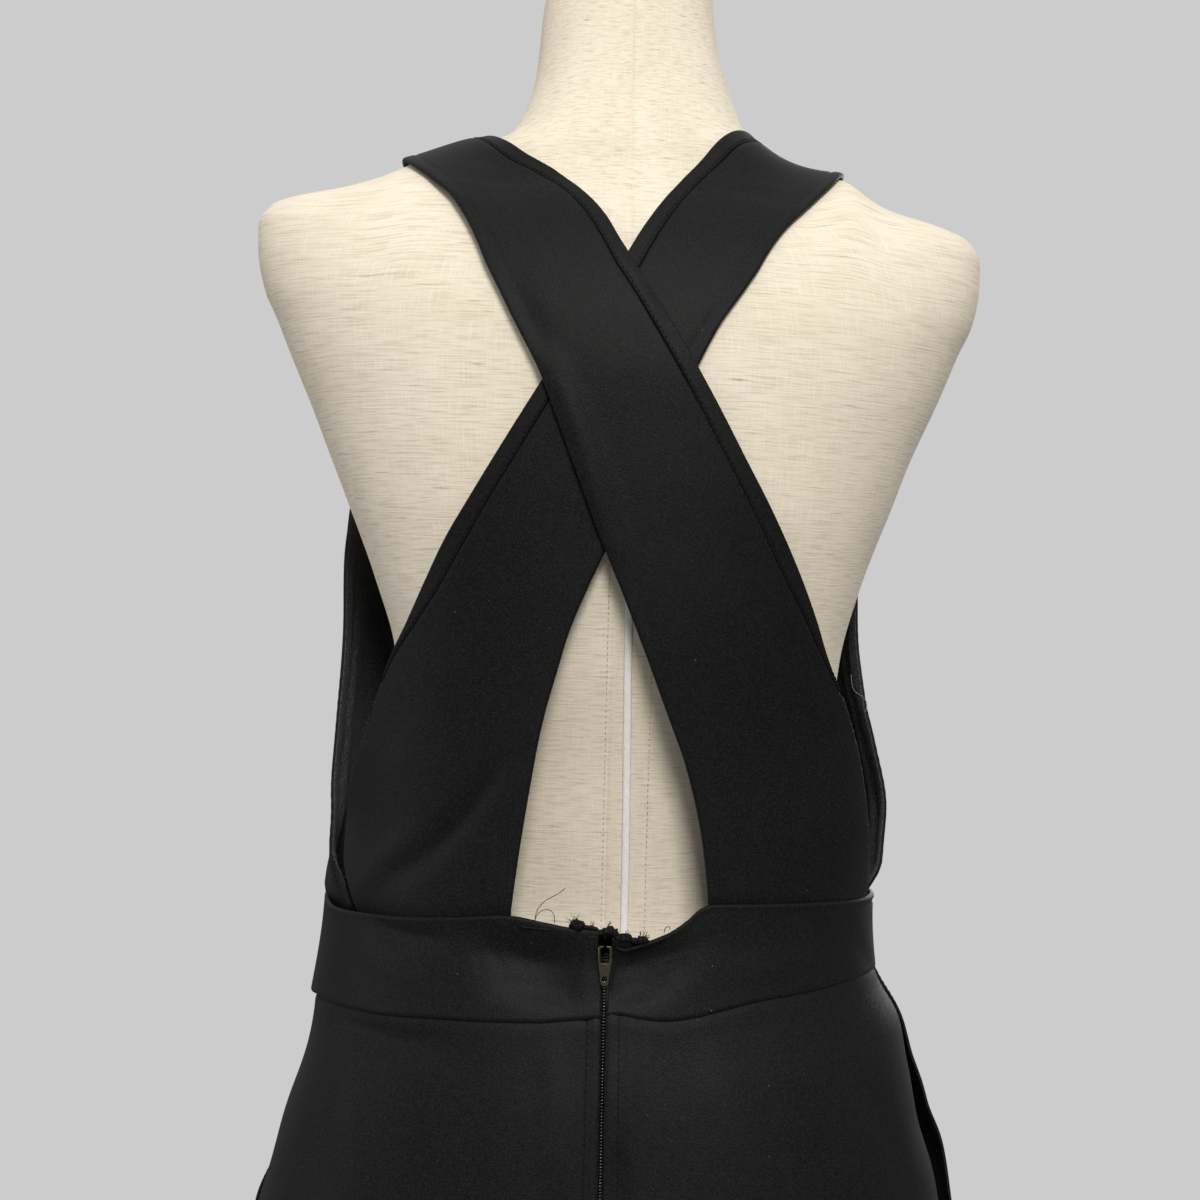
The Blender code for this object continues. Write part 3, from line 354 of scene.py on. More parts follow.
def leg_section(h, side, share, face):
    """Half a leg's loop, from the inseam at share 0 round the back or the front to the side."""
    inner = CROTCH_X + (SEAM / 2 + SHORTS_WALL) * side
    outer = read(HULL, 1, h) + read(HULL, 3, h) * side
    depth = read(HULL, 4 if face > 0 else 5, h)
    turn = share * math.pi
    power = 2.0 / LEG_ROUNDNESS
    x = (inner + outer) / 2 - (outer - inner) / 2 * np.sign(np.cos(turn)) * np.abs(np.cos(turn)) ** power
    return x, -face * depth * np.abs(np.sin(turn)) ** power


def shorts_grid(side, face):
    """One panel of the shorts, back (face 1) or front (face -1): rows down from the waist seam,
    columns from the centre seam, and below the crotch from the inseam, to the side seam."""
    share = np.linspace(0, 1, SHORTS_COLUMNS)
    grid, seam_x = [], []
    for side_h in np.linspace(-0.055, HEM_H, SHORTS_ROWS):
        turn = np.clip((side_h - ZIP_END_H) / (CROTCH_H - ZIP_END_H), 0, 1) * math.pi / 2
        centre_h = side_h
        if 0 < turn < math.pi / 2:
            centre_h = ZIP_END_H + (CROTCH_H - ZIP_END_H) * math.sin(turn)
        wrap = 1 - math.cos(turn)
        h = centre_h + (side_h - centre_h) * share
        start = float(zip_angle(side_h)) if face > 0 else 0.0
        gap = ZIP_HALF_GAP if face > 0 and side_h >= ZIP_END_H else SEAM / 2
        start += side * gap / CENTRE_REACH
        angle = start + (side * math.pi / 2 - start) * share
        hull = ring(HULL, h, angle if face > 0 else math.pi - angle)
        leg_x, leg_y = leg_section(h, side, share, face)
        row = np.stack([hull[:, 0] * (1 - wrap) + leg_x * wrap,
                        hull[:, 1] * (1 - wrap) + leg_y * wrap, h], axis=-1)
        room = RISE_ROOM * SHORTS_WALL * (math.sin(turn) - wrap)
        row[:, 0] += side * room * (1 - share) ** 2
        depth = float(read(HULL, 4 if face > 0 else 5, side_h))
        row[:, 1] *= depth / np.max(np.abs(row[:, 1]))
        grid.append(row)
        middle = ring(HULL, side_h, float(zip_angle(side_h)) if face > 0 else math.pi)[0]
        seam_x.append(middle * (1 - wrap) + CROTCH_X * wrap)
    grid = np.array(grid)
    grid[..., 1] -= face * SEAM / 2
    shift = read(WAISTLINE, 2, around(grid[0])) - SEAM / 2 - grid[0, :, 2]
    grid[..., 2] += shift * (1 - ramp(0.0, 0.09, grid[0, :, 2] - grid[..., 2]))
    return grid, np.array(seam_x)


def softened(grid):
    """Eases the bend in a shorts panel where the legs begin."""
    share = np.linspace(0, 1, grid.shape[1])
    weight = ((1 - ramp(-0.23, -0.19, grid[..., 2])) * ramp(0.05, 0.25, share))[..., None]
    grid = grid.copy()
    for _ in range(45):
        mean = grid.copy()
        mean[1:-1] = (grid[:-2] + grid[2:]) / 2
        grid += 0.5 * weight * (mean - grid)
    return grid


def side_shift(panel, h):
    """How far a shorts panel's side edge moves in x at a height."""
    rows = np.array(SIDE_SHIFTS[panel]) / 1000
    return sum(shift * np.exp(-((h - at) / reach) ** 2) for at, reach, shift in rows)


def pocket_bulge(h):
    """How far a pocket's front lip gapes at a height, as a share of the most."""
    along = np.clip((h - POCKET_END_H) / (POCKET_TOP_H - POCKET_END_H), 0, 1)
    return np.sin(math.pi * along) ** 1.3 * (1 - 0.65 * ramp(0.35, 1.0, along))


def zip_frame(h):
    """A point of the zip's line on the hull, the way across it and the way out of it."""
    here = ring(HULL, h, zip_angle(h))
    across = ring(HULL, h, zip_angle(h) + 0.01) - here
    across /= np.linalg.norm(across)
    up = ring(HULL, h + 0.002, zip_angle(h + 0.002)) - here
    out = np.cross(across, up)
    return here, across, out / np.linalg.norm(out)


# Grids of the fine cloth, and how it is finished
RIM = 0.45
EDGE_STEPS = (0.10, 0.28, 0.52, 0.78, 1.0)
FREE_EDGE = 0.0016
SEAM_EDGE = 0.0022
# Of each grid's first and last row, first and last column
BODICE_EDGES = (SEAM_EDGE, SEAM_EDGE, FREE_EDGE, FREE_EDGE)
BAND_EDGES = (SEAM_EDGE, SEAM_EDGE, 0.0011, 0.0011)
WAISTBAND_EDGES = (SEAM_EDGE, FREE_EDGE, FREE_EDGE, FREE_EDGE)
SHORTS_EDGES = (SEAM_EDGE, FREE_EDGE, 0.0018, FREE_EDGE)
STRAP_HEM = 0.0072
FRONT_HEM = 0.0085
HEM_STITCH_GAP = 0.0012
# A degree round the waist, as a length on the cloth
DEGREE = 0.0026
STITCH_LENGTH = 0.0026
STITCH_PITCH = 0.0033
HEM_STITCH = 0.020
POCKET_STITCH = 0.006
LOWER_EDGE_MOVE = 0.0058
ZIP_STITCH = 0.0080
ZIP_OVERLAP = 0.0009
TUCK_ROWS = 5
TOOTH_PITCH = 0.0015

# Creases of each piece: start, middle and end (each across and height), how far they lift the cloth
# at most, and their half width, in millimetres. Across is x on the straps, the distance from the
# armhole edge on the bodice fronts, and degrees from the centre back on the waistband and the shorts.
STRAP_LEFT_CREASES = [
    ((112, 12), (120, 60), (111, 110), 1, 9), ((60, 20), (67, 75), (52, 150), -0.9, 12),
    ((96, 40), (88, 105), (62, 175), -1, 10), ((-60, 330), (-52, 305), (-36, 285), -0.9, 6),
    ((-104, 372), (-90, 366), (-70, 352), 1, 5), ((-40, 284), (-20, 232), (-3, 178), 3.4, 6.5),
    ((-11, 351), (0, 338), (10.5, 324), -3, 3.2), ((4, 329), (12, 318), (20, 304), 1.4, 3.4),
]
STRAP_RIGHT_CREASES = [
    ((-133, 2), (-123, 19), (-108, 40), 2.4, 5), ((-118, 15), (-85, 41), (-53, 88), -3, 5.5),
    ((-140, 30), (-124, 75), (-106, 110), -0.8, 9), ((-62, 12), (-60, 55), (-44, 105), 0.8, 8),
    ((45, 330), (58, 345), (74, 352), 0.8, 6),
]
FRONT_CREASES = [
    ((6, 15), (8, 110), (10, 215), -2.2, 4.2), ((16, 5), (17, 85), (15, 190), 2, 5),
    ((27, 10), (27, 70), (24, 150), -2.6, 6), ((44, 4), (52, 50), (50, 110), 1.8, 8),
    ((80, 4), (86, 40), (98, 85), -1.8, 7.5), ((22, 230), (45, 215), (72, 190), -1.5, 8.5),
]
# How far the form's left and right sides lie further in than its solid, at each height (millimetres)
FORM_FIT = np.array([
    (-280, 0, 0), (40, 0, 0), (100, 5, 3), (150, 6.8, 4.2), (260, 7.4, 4.4), (300, 4.2, 3),
    (340, 2, 1.5), (380, 0, 0), (430, 0, 0), (487, -5, 0), (518, -1.5, 0),
]) / 1000
# Where the tops of the shoulders lie lower than in the solids: x, reach to each side and fall
SHOULDER_FALLS = np.array([(-165, 20, 1.2), (-66, 18, 3.5), (82, 20, 4.5), (116, 12, -3.4)]) / 1000
FORM_SHOULDER_FALL = 0.0036
# How far the side edge of each shorts panel moves in x: the height, the reach above and below, the
# move (millimetres)
SIDE_SHIFTS = {
    "back_left": [(-90, 36, 5.8), (-145, 30, 4), (-215, 45, 4)],
    "front_left": [(-103, 44, 10), (-145, 22, 8.5), (-205, 45, 6)],
    "back_right": [(-60, 14, 4.2), (-115, 28, -5.8), (-170, 30, -7.5)],
    "front_right": [(-60, 20, 6.4), (-114, 12, -2), (-160, 30, -4.5)],
}
WAISTBAND_CREASES = [
    ((-56, -8.5), (-46, -11.5), (-36, -13), -3.4, 5.5),
    ((-26, -31), (-13, -35), (-2.5, -36.5), -3.4, 7.5), ((-30, -15), (-14, -21), (-4, -23), -6.2, 10.5),
    ((0.6, -36.5), (8, -34.5), (19, -27), -3.4, 7.5), ((1, -22.5), (9, -20.5), (22, -12), -6, 10.5),
    ((-34, 1), (-15, -3), (-2, -8), 1, 5), ((-2, -8), (8, -11), (22, -2), 1, 5),
    ((-58, -18), (-47, -30), (-38, -34), 0.9, 8), ((28, -20), (40, -24), (55, -16), 0.7, 8),
    ((100, -18), (118, -26), (140, -20), -1.2, 7), ((-100, -20), (-122, -28), (-150, -22), -1.2, 7),
    ((62, -10), (70, -22), (76, -31), -0.6, 7),
]
SHORTS_CREASES = [
    ((-58, -62), (-52, -110), (-44, -160), 1.6, 12), ((-30, -58), (-28, -100), (-31, -150), -1.3, 13),
    ((-62, -60), (-49, -63.5), (-33, -65), -3.4, 8), ((-11, -56), (-9.5, -85), (-10, -125), 1, 6),
    ((7.5, -60), (6.5, -85), (7.5, -120), 1.1, 6), ((4, -108), (4.5, -140), (3, -178), -2, 6),
    ((-8.5, -125), (-7, -155), (-8, -190), -1.4, 6), ((26, -56), (30, -105), (40, -165), 1.4, 13),
    ((52, -52), (60, -100), (64, -160), -1.5, 12), ((-62, -230), (-52, -300), (-55, -370), 3, 20),
    ((-26, -240), (-32, -300), (-30, -370), -3, 18), ((34, -230), (40, -300), (36, -370), 2.8, 19),
    ((66, -240), (62, -310), (66, -370), -2.6, 18), ((110, -65), (118, -130), (121, -200), -1.8, 14),
    ((140, -60), (146, -110), (150, -170), 1.6, 13), ((-112, -65), (-120, -125), (-118, -190), 1.8, 14),
    ((-142, -60), (-150, -120), (-147, -180), -1.6, 13), ((128, -240), (124, -300), (130, -370), 3, 20),
    ((-130, -240), (-126, -300), (-133, -370), 2.8, 20),
    ((-165, -270), (-152, -215), (-140, -200), -1.8, 10),
    ((163, -270), (152, -225), (138, -205), -1.8, 10),
]


def new_material(name, roughness, metallic=0.0, specular=0.5):
    """A material with its uniform numbers set, its node tree, its shader and the object's coordinate."""
    material = bpy.data.materials.new(name)
    material.use_nodes = True
    tree = material.node_tree
    shader = tree.nodes["Principled BSDF"]
    shader.inputs["Roughness"].default_value = roughness
    shader.inputs["Metallic"].default_value = metallic
    shader.inputs["Specular IOR Level"].default_value = specular
    return material, tree, shader, add(tree, "TexCoord").outputs["Object"]


def add(tree, kind, **settings):
    """A node; a setting whose name is one of the node's sockets fills that socket."""
    made = tree.nodes.new("ShaderNode" + kind)
    for key, value in settings.items():
        socket = made.inputs.get(key.replace("_", " ")) if key[0].isupper() else None
        if socket is None:
            setattr(made, key, value)
        elif isinstance(value, bpy.types.NodeSocket):
            tree.links.new(value, socket)
        else:
            socket.default_value = value
    return made


def noise(tree, vector, scale, detail=2.0, roughness=0.5):
    """A noise's value at a coordinate, which three scales stretch."""
    if isinstance(scale, tuple):
        vector, scale = add(tree, "Mapping", Vector=vector, Scale=scale).outputs["Vector"], 1.0
    made = add(tree, "TexNoise", Vector=vector, Scale=scale, Detail=detail, Roughness=roughness)
    return made.outputs["Fac"]


def span(tree, value, low, high, to_low=0.0, to_high=1.0):
    """A value stretched from one range to another and clipped to it."""
    made = add(tree, "MapRange")
    tree.links.new(value, made.inputs["Value"])
    numbers = {"From Min": low, "From Max": high, "To Min": to_low, "To Max": to_high}
    for key, number in numbers.items():
        made.inputs[key].default_value = number
    return made.outputs["Result"]


def mixed(tree, share, one, other):
    """A blend of two colours, each a socket or a value."""
    made = add(tree, "Mix", data_type="RGBA")
    for index, value in ((0, share), (6, one), (7, other)):
        if isinstance(value, bpy.types.NodeSocket):
            tree.links.new(value, made.inputs[index])
        else:
            made.inputs[index].default_value = (*value, 1.0) if index else value
    return made.outputs[2]


def surface(tree, shader, colour, bumps):
    """Joins a colour to the shader, and bumps, each a height, its strength and its depth in metres."""
    tree.links.new(colour, shader.inputs["Base Color"])
    normal = None
    for height, strength, distance in bumps:
        bump = add(tree, "Bump", Height=height, Strength=strength, Distance=distance)
        if normal is not None:
            tree.links.new(normal, bump.inputs["Normal"])
        normal = bump.outputs["Normal"]
        tree.links.new(normal, shader.inputs["Normal"])


def scuba_material(name="scuba_knit", depth=1.0, tint=(1.0, 1.0, 1.0)):
    """Matt black double knit: a fine grain, a slight unevenness of tone and white specks of lint. Depth
    and tint scale the tones; the inner faces' copy, nine times brighter and cool-tinted, is partly the
    duller wrong side and partly painted light.
    """
    material, tree, shader, place = new_material(name, 0.54, specular=0.22)
    shader.inputs["IOR"].default_value = 1.35
    low, high, bright = (tuple(tone * depth * part for part in tint) for tone in (0.0014, 0.0027, 0.0120))
    tone = mixed(tree, span(tree, noise(tree, place, 16.0, 3.0), 0.35, 0.65), low, high)
    grain = noise(tree, place, 1100.0, 3.0, 0.65)
    tone = mixed(tree, span(tree, grain, 0.42, 0.70), tone, bright)
    specks = add(tree, "TexVoronoi", Vector=place, Scale=165.0)
    near = span(tree, specks.outputs["Distance"], 0.025, 0.045, 1.0, 0.0)
    red = add(tree, "SeparateColor", Color=specks.outputs["Color"]).outputs["Red"]
    picked = span(tree, red, 0.70, 0.98)
    tone = mixed(tree, near, tone, mixed(tree, picked, tone, LINT))
    shader.inputs["Sheen Weight"].default_value = 0.02
    shader.inputs["Sheen Roughness"].default_value = 0.45
    surface(tree, shader, tone, [(noise(tree, place, 70.0), 0.35, 0.0006), (grain, 0.8, 0.00025)])
    return material


def linen_material():
    """Natural linen: a fine weave with darker slubs that run across the form."""
    material, tree, shader, _ = new_material("form_linen", 0.88, specular=0.25)
    place = add(tree, "UVMap", uv_map="cloth").outputs["UV"]
    broad = noise(tree, place, (9.0, 14.0, 1.0), 3.0)
    weft = noise(tree, place, (45.0, 1150.0, 1.0), 3.0, 0.6)
    slub = noise(tree, place, (28.0, 620.0, 1.0), 2.0, 0.6)
    warp = noise(tree, place, (1050.0, 60.0, 1.0), 2.0, 0.6)
    tone = mixed(tree, span(tree, broad, 0.3, 0.7), (0.800, 0.728, 0.600), (0.735, 0.655, 0.520))
    tone = mixed(tree, span(tree, weft, 0.46, 0.78), tone, (0.545, 0.455, 0.335))
    tone = mixed(tree, span(tree, slub, 0.64, 0.76, 0.0, 0.75), tone, (0.340, 0.265, 0.185))
    tone = mixed(tree, span(tree, warp, 0.50, 0.80, 0.0, 0.45), tone, (0.900, 0.850, 0.745))
    shader.inputs["Sheen Weight"].default_value = 0.06
    surface(tree, shader, tone, [(weft, 0.45, 0.00035), (warp, 0.30, 0.00025), (slub, 0.3, 0.0004)])
    return material


def plain_material(name, roughness, tones, scale, detail=2.0, soft=0.5, spread=None, press=None,
                   fine=None, dull=None, **numbers):
    """A material whose tone wanders between two colours with one noise. The noise can be spread between
    two of its values, and dull the surface between two roughnesses. It can also press the surface in by
    a strength and a depth, or a finer noise does."""
    material, tree, shader, place = new_material(name, roughness, **numbers)
    value = noise(tree, place, scale, detail, soft)
    share = span(tree, value, *spread) if spread else value
    height = noise(tree, place, fine) if fine else value
    surface(tree, shader, mixed(tree, share, *tones), [(height, *press)] if press else [])
    if dull:
        tree.links.new(span(tree, value, 0.3, 0.7, *dull), shader.inputs["Roughness"])
    return material


def thread_material(name, colour, roughness=0.6):
    """Twisted thread."""
    darker = tuple(0.7 * part for part in colour)
    return plain_material(name, roughness, (darker, colour), 3000.0, 1.0, press=(0.3, 0.0001),
                          specular=0.9 if roughness < 0.3 else 0.15)


def metal_material(name, depth):
    """Dark antique brass with rubbed, brighter patches."""
    tones = [tuple(depth * part for part in colour) for colour in BRASS]
    return plain_material(name, 0.36, tones, 380.0, 3.0, 0.6, (0.38, 0.70), (0.25, 0.0001),
                          dull=(0.50, 0.28), metallic=1.0)


def refined(arrays, radii):
    """Adds lines of points near the edges that are rounded (first and last row, first and last column)
    to a grid of points and to the arrays of numbers that go with it."""
    for side, radius in enumerate(radii):
        if not radius:
            continue
        axis, last = divmod(side, 2)
        way = -1 if last else 1
        turned = [np.swapaxes(array, 0, axis)[::way] for array in arrays]
        step = np.linalg.norm(turned[0][1] - turned[0][0], axis=-1).mean()
        shares = [radius * t / step for t in EDGE_STEPS if radius * t < 0.9 * step]
        turned = [np.concatenate([a[:1]] + [a[:1] + (a[1:2] - a[:1]) * t for t in shares] + [a[1:]])
                  for a in turned]
        arrays = [np.swapaxes(array[::way], 0, axis) for array in turned]
    return arrays


def inset(grid, side):
    """How far each point lies from a side: 0 and 1 are the first and last row, 2 and 3 the columns."""
    axis, last = divmod(side, 2)
    steps = np.linalg.norm(np.diff(grid, axis=axis), axis=-1)
    zero = np.zeros_like(np.take(steps, [0], axis))
    along = np.concatenate([zero, np.cumsum(steps, axis=axis)], axis=axis)
    return np.take(along, [-1], axis) - along if last else along


def creased(grid, creases, across, unit=0.001):
    """Moves a grid in and out along the soft troughs and ridges of a table. The unit is the size of the
    table's steps across."""
    move = np.zeros(grid.shape[:2])
    here = np.stack([across, grid[..., 2]], axis=-1)
    for start, middle, end, lift, half_width in creases:
        start, middle, end = np.array([start, middle, end]) * (unit, 0.001)
        bend = 2 * middle - (start + end) / 2
        t = np.linspace(0, 1, 33)[:, None]
        curve = start * (1 - t) ** 2 + bend * 2 * t * (1 - t) + end * t ** 2
        away = np.linalg.norm(here[..., None, :] - curve, axis=-1)
        nearest = np.argmin(away, axis=-1)
        taper = np.sin(math.pi * (0.04 + 0.92 * nearest / 32)) ** 0.8
        move += lift / 1000 * taper * np.exp(-(away.min(axis=-1) * 1000 / half_width) ** 2)
    return grid + outward(grid) * move[..., None]


def placed(name, data):
    """A new object in the scene."""
    made = bpy.data.objects.new(name, data)
    bpy.context.collection.objects.link(made)
    return made


def sleeve(rows, count, capped=False):
    """Faces between rows of points that go round, and over both ends of a capped one."""
    last = rows * count - 1
    faces = [tuple(range(count)), tuple(range(last, last - count, -1))] if capped else []
    for i in range(rows - 1):
        for j in range(count):
            a, b = i * count + j, i * count + (j + 1) % count
            faces.append((a, b, b + count, a + count))
    return faces


def add_piece(name, verts, faces, material, nodes=(), uvs=None):
    """A mesh object that rides with the form and stands for the nodes that it names."""
    verts = np.array(verts, dtype=float)
    high = ramp(WAIST_Z + 0.325, WAIST_Z + 0.385, verts[:, 2])
    for at, reach, fall in SHOULDER_FALLS:
        verts[:, 2] -= fall * np.exp(-((verts[:, 0] - at) / reach) ** 2) * high
    mesh = bpy.data.meshes.new(name)
    mesh.from_pydata([tuple(v) for v in verts], [], faces)
    shape = bmesh.new()
    shape.from_mesh(mesh)
    bmesh.ops.recalc_face_normals(shape, faces=shape.faces)
    shape.to_mesh(mesh)
    shape.free()
    if uvs is not None:
        layer = mesh.uv_layers.new(name="cloth")
        corners = np.empty(len(mesh.loops), dtype=np.int32)
        mesh.loops.foreach_get("vertex_index", corners)
        layer.data.foreach_set("uv", np.asarray(uvs, dtype=np.float32)[corners].ravel())
    mesh.materials.append(material)
    mesh.shade_smooth()
    piece = placed(name, mesh)
    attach(piece, BODY)
    if nodes:
        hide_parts(*nodes)
    return piece


def shell(node, grid, thickness, radii, look, relief=None, seam_x=None, side=0, inside=None):
    """A cloth piece on its solid's form: a closed shell with rounded edges. Returns it with the grid
    of its outer face."""
    arrays = [grid, np.zeros(grid.shape[:2]) if relief is None else relief]
    if seam_x is not None:
        arrays.append(np.broadcast_to(seam_x[:, None], grid.shape[:2]).copy())
    arrays = refined(arrays, radii)
    grid, relief = arrays[:2]
    normals = outward(grid)
    full = np.ones(grid.shape[:2])
    for number, radius in enumerate(radii):
        if radius:
            full *= np.sqrt(1 - (1 - np.clip(inset(grid, number) / radius, 0, 1)) ** 2)
    outer = grid + normals * (thickness * (RIM + (1 - RIM) * full) + relief * full)[..., None]
    inner = grid + normals * (thickness * 0.6 * RIM * (1 - full))[..., None]
    if seam_x is not None:
        seams = arrays[2]
        outer[..., 0] = seams + side * np.maximum(side * (outer[..., 0] - seams), SEAM / 2)
    rows, columns = grid.shape[:2]
    verts = np.concatenate([inner.reshape(-1, 3), outer.reshape(-1, 3)]) + (0.0, 0.0, WAIST_Z)
    count = rows * columns
    low = np.arange(count).reshape(rows, columns)
    quads = np.stack([low[:-1, :-1], low[:-1, 1:], low[1:, 1:], low[1:, :-1]], axis=-1).reshape(-1, 4)
    edge = np.concatenate([low[0], low[1:, -1], low[-1, -2::-1], low[-2:0:-1, 0]])
    after = np.roll(edge, -1)
    rim = np.stack([after, edge, edge + count, after + count], axis=-1)
    faces = np.concatenate([quads, quads[:, ::-1] + count, rim]).tolist()
    name = "cloth_" + node.replace("strap_band", "band")
    piece = add_piece(name, verts, faces, look, (node,))
    # The inner faces take the inside knit: partly the duller wrong side, partly painted light on the faces
    # turned towards the body.
    if inside is not None:
        piece.data.materials.append(inside)
        for face in piece.data.polygons[:len(quads)]:
            face.material_index = 1
    return piece, outer


class Bits:
    """Many small shapes gathered into one mesh."""

    def __init__(self):
        self.verts, self.faces = [], []

    def take(self, verts, faces):
        start = len(self.verts)
        self.verts += [tuple(v) for v in verts]
        self.faces += [tuple(start + k for k in face) for face in faces]

    def lens(self, centre, along, out, length, width, height):
        """A rounded grain with its long axis along one way."""
        along = along / np.linalg.norm(along)
        across = np.cross(along, out)
        across /= np.linalg.norm(across)
        up = np.cross(across, along)
        verts, faces = [centre - along * length / 2], []
        for t, swell in ((-0.36, 0.72), (0.0, 1.0), (0.36, 0.72)):
            for k in range(6):
                turn = 2 * math.pi * k / 6
                verts.append(centre + along * length * t + swell / 2 * (
                    across * width * math.cos(turn) + up * height * math.sin(turn)))
        verts.append(centre + along * length / 2)
        for k in range(6):
            n = (k + 1) % 6
            faces += [(0, 1 + n, 1 + k), (19, 13 + k, 13 + n)]
            faces += [(1 + k, 1 + n, 7 + n, 7 + k), (7 + k, 7 + n, 13 + n, 13 + k)]
        self.take(verts, faces)

    def tube(self, points, radii, sides=6):
        """A round thread or roll along points, closed at both ends."""
        points = np.asarray(points, float)
        radii = np.broadcast_to(radii, (len(points),))
        ways = np.gradient(points, axis=0)
        ways /= np.linalg.norm(ways, axis=1, keepdims=True)
        side = np.cross(ways[0], (0.31, -0.9, 0.3))
        verts = []
        for point, way, radius in zip(points, ways, radii):
            side = side - way * np.dot(side, way)
            side = side / np.linalg.norm(side)
            up = np.cross(way, side)
            for k in range(sides):
                turn = 2 * math.pi * k / sides
                verts.append(point + radius * (side * math.cos(turn) + up * math.sin(turn)))
        self.take(verts, sleeve(len(points), sides, capped=True))

    def stitches(self, points, out, length=STITCH_LENGTH, pitch=STITCH_PITCH, width=0.0007, height=0.0008):
        """A row of stitches along points, each with the way out of the cloth there."""
        steps = np.linalg.norm(np.diff(points, axis=0), axis=1)
        along = np.concatenate([[0.0], np.cumsum(steps)])
        ways = np.gradient(points, axis=0)
        for at in np.arange(pitch, along[-1] - length / 2, pitch):
            centre, way, up = (np.array([np.interp(at, along, array[:, k]) for k in range(3)])
                               for array in (points, ways, out))
            self.lens(centre, way, up, length, width, height)

    def made(self, name, material, slot, nodes=()):
        verts = np.array(self.verts) + (0.0, 0.0, WAIST_Z)
        return add_piece(name, verts, self.faces, material, nodes)


def line_at(grid, side, distance):
    """The line of a face's points at a distance from a side, and the ways out of it there."""
    axis = side // 2
    along = inset(grid, side)
    normals = outward(grid)
    if axis == 0:
        grid, normals, along = grid.swapaxes(0, 1), normals.swapaxes(0, 1), along.T
    points, ways = [], []
    for row, way, reach in zip(grid, normals, along):
        order = np.argsort(reach)
        points.append([np.interp(distance, reach[order], row[order, k]) for k in range(3)])
        ways.append([np.interp(distance, reach[order], way[order, k]) for k in range(3)])
    return np.array(points), np.array(ways)


def tucked(grid, rise=-0.0010, depth=0.0021, reach=0.0085):
    """A grid whose first row goes on a little way up or down behind the waistband."""
    ways = outward(grid)[0]
    more = [grid[0] + (0.0, 0.0, rise * k) for k in range(TUCK_ROWS, 0, -1)]
    grid = np.concatenate([more, grid])
    near = 1 - ramp(0.0008, reach, inset(grid, 0))
    return grid - ways * depth * near[..., None]


def under_waistband(grid):
    """Brings the top edge of a shorts panel in to the waistband's own line."""
    top = grid[0]
    middle = np.stack([read(HULL, 1, top[:, 2]), read(HULL, 2, top[:, 2])], axis=-1)
    way = top[:, :2] - middle
    onto = ring(HULL, top[:, 2], np.arctan2(way[:, 0], -way[:, 1]))
    fade = 1 - ramp(0.0, 0.045, top[:, 2] - grid[..., 2])
    return grid + (onto - top) * fade[..., None]


def sewn_edge(bits, face, side, depth, radius):
    """The seam allowance seen at the bottom of a seam's groove."""
    points, ways = line_at(face, side, 0.0)
    bits.tube(points - ways * depth, radius)


def groove(distance, at, half_width, depth):
    """A soft line pressed into the cloth at a distance from an edge."""
    return -depth * np.exp(-((distance - at) / half_width) ** 2)


def hem(distance, width, rise):
    """A turned edge: thicker cloth up to a width from the edge, with a groove where it is sewn."""
    return rise * (1 - ramp(width * 0.9, width * 1.1, distance)) + groove(distance, width, 0.0009, 0.0006)


def back_straps(look, thread):
    """Both straps, each with its edge band and the band's stitches."""
    seams = {}
    sides = (("left", STRAP_LEFT_SHOULDER, 1, STRAP_LEFT_CREASES),
             ("right", STRAP_RIGHT_SHOULDER, -1, STRAP_RIGHT_CREASES))
    for label, stations, band_side, creases in sides:
        panel, edge = strap_grids(stations, band_side)
        panel = sit_on_waist(panel)
        if label == "left":
            panel = panel + outward(panel) * cross_lift(panel)[..., None]
            edge = edge + outward(edge) * cross_lift(edge)[..., None]
        else:
            from_side = panel[..., 0] - panel[..., 0].min(axis=1, keepdims=True)
            low = (1 - ramp(0.030, 0.080, panel[..., 2])) * (1 - ramp(0.0, 0.050, from_side))
            panel[..., 0] += LOWER_EDGE_MOVE * low
        panel, edge = (creased(grid, creases, grid[..., 0]) for grid in (panel, edge))
        panel = tucked(panel)
        seam_side, free_side = (3, 2) if band_side > 0 else (2, 3)
        fold = hem(inset(panel, free_side), STRAP_HEM, 0.0003)
        strap, _ = shell("strap_" + label, panel, STRAP_WALL, BODICE_EDGES, look, fold)
        edge = edge + outward(edge) * FIT
        band, face = shell("strap_band_" + label, edge, BAND_WALL, BAND_EDGES, look)
        bits = Bits()
        points, ways = line_at(face, 5 - seam_side, 0.0021)
        bits.stitches(points, ways, length=0.0024, pitch=0.0031)
        sewn_edge(bits, face, 5 - seam_side, 0.0005, 0.0008)
        sewn = bits.made("stitches_band_" + label, thread, "scuba")
        seams[label] = over(*stations[-1, :4].reshape(2, 2).T)
    return seams


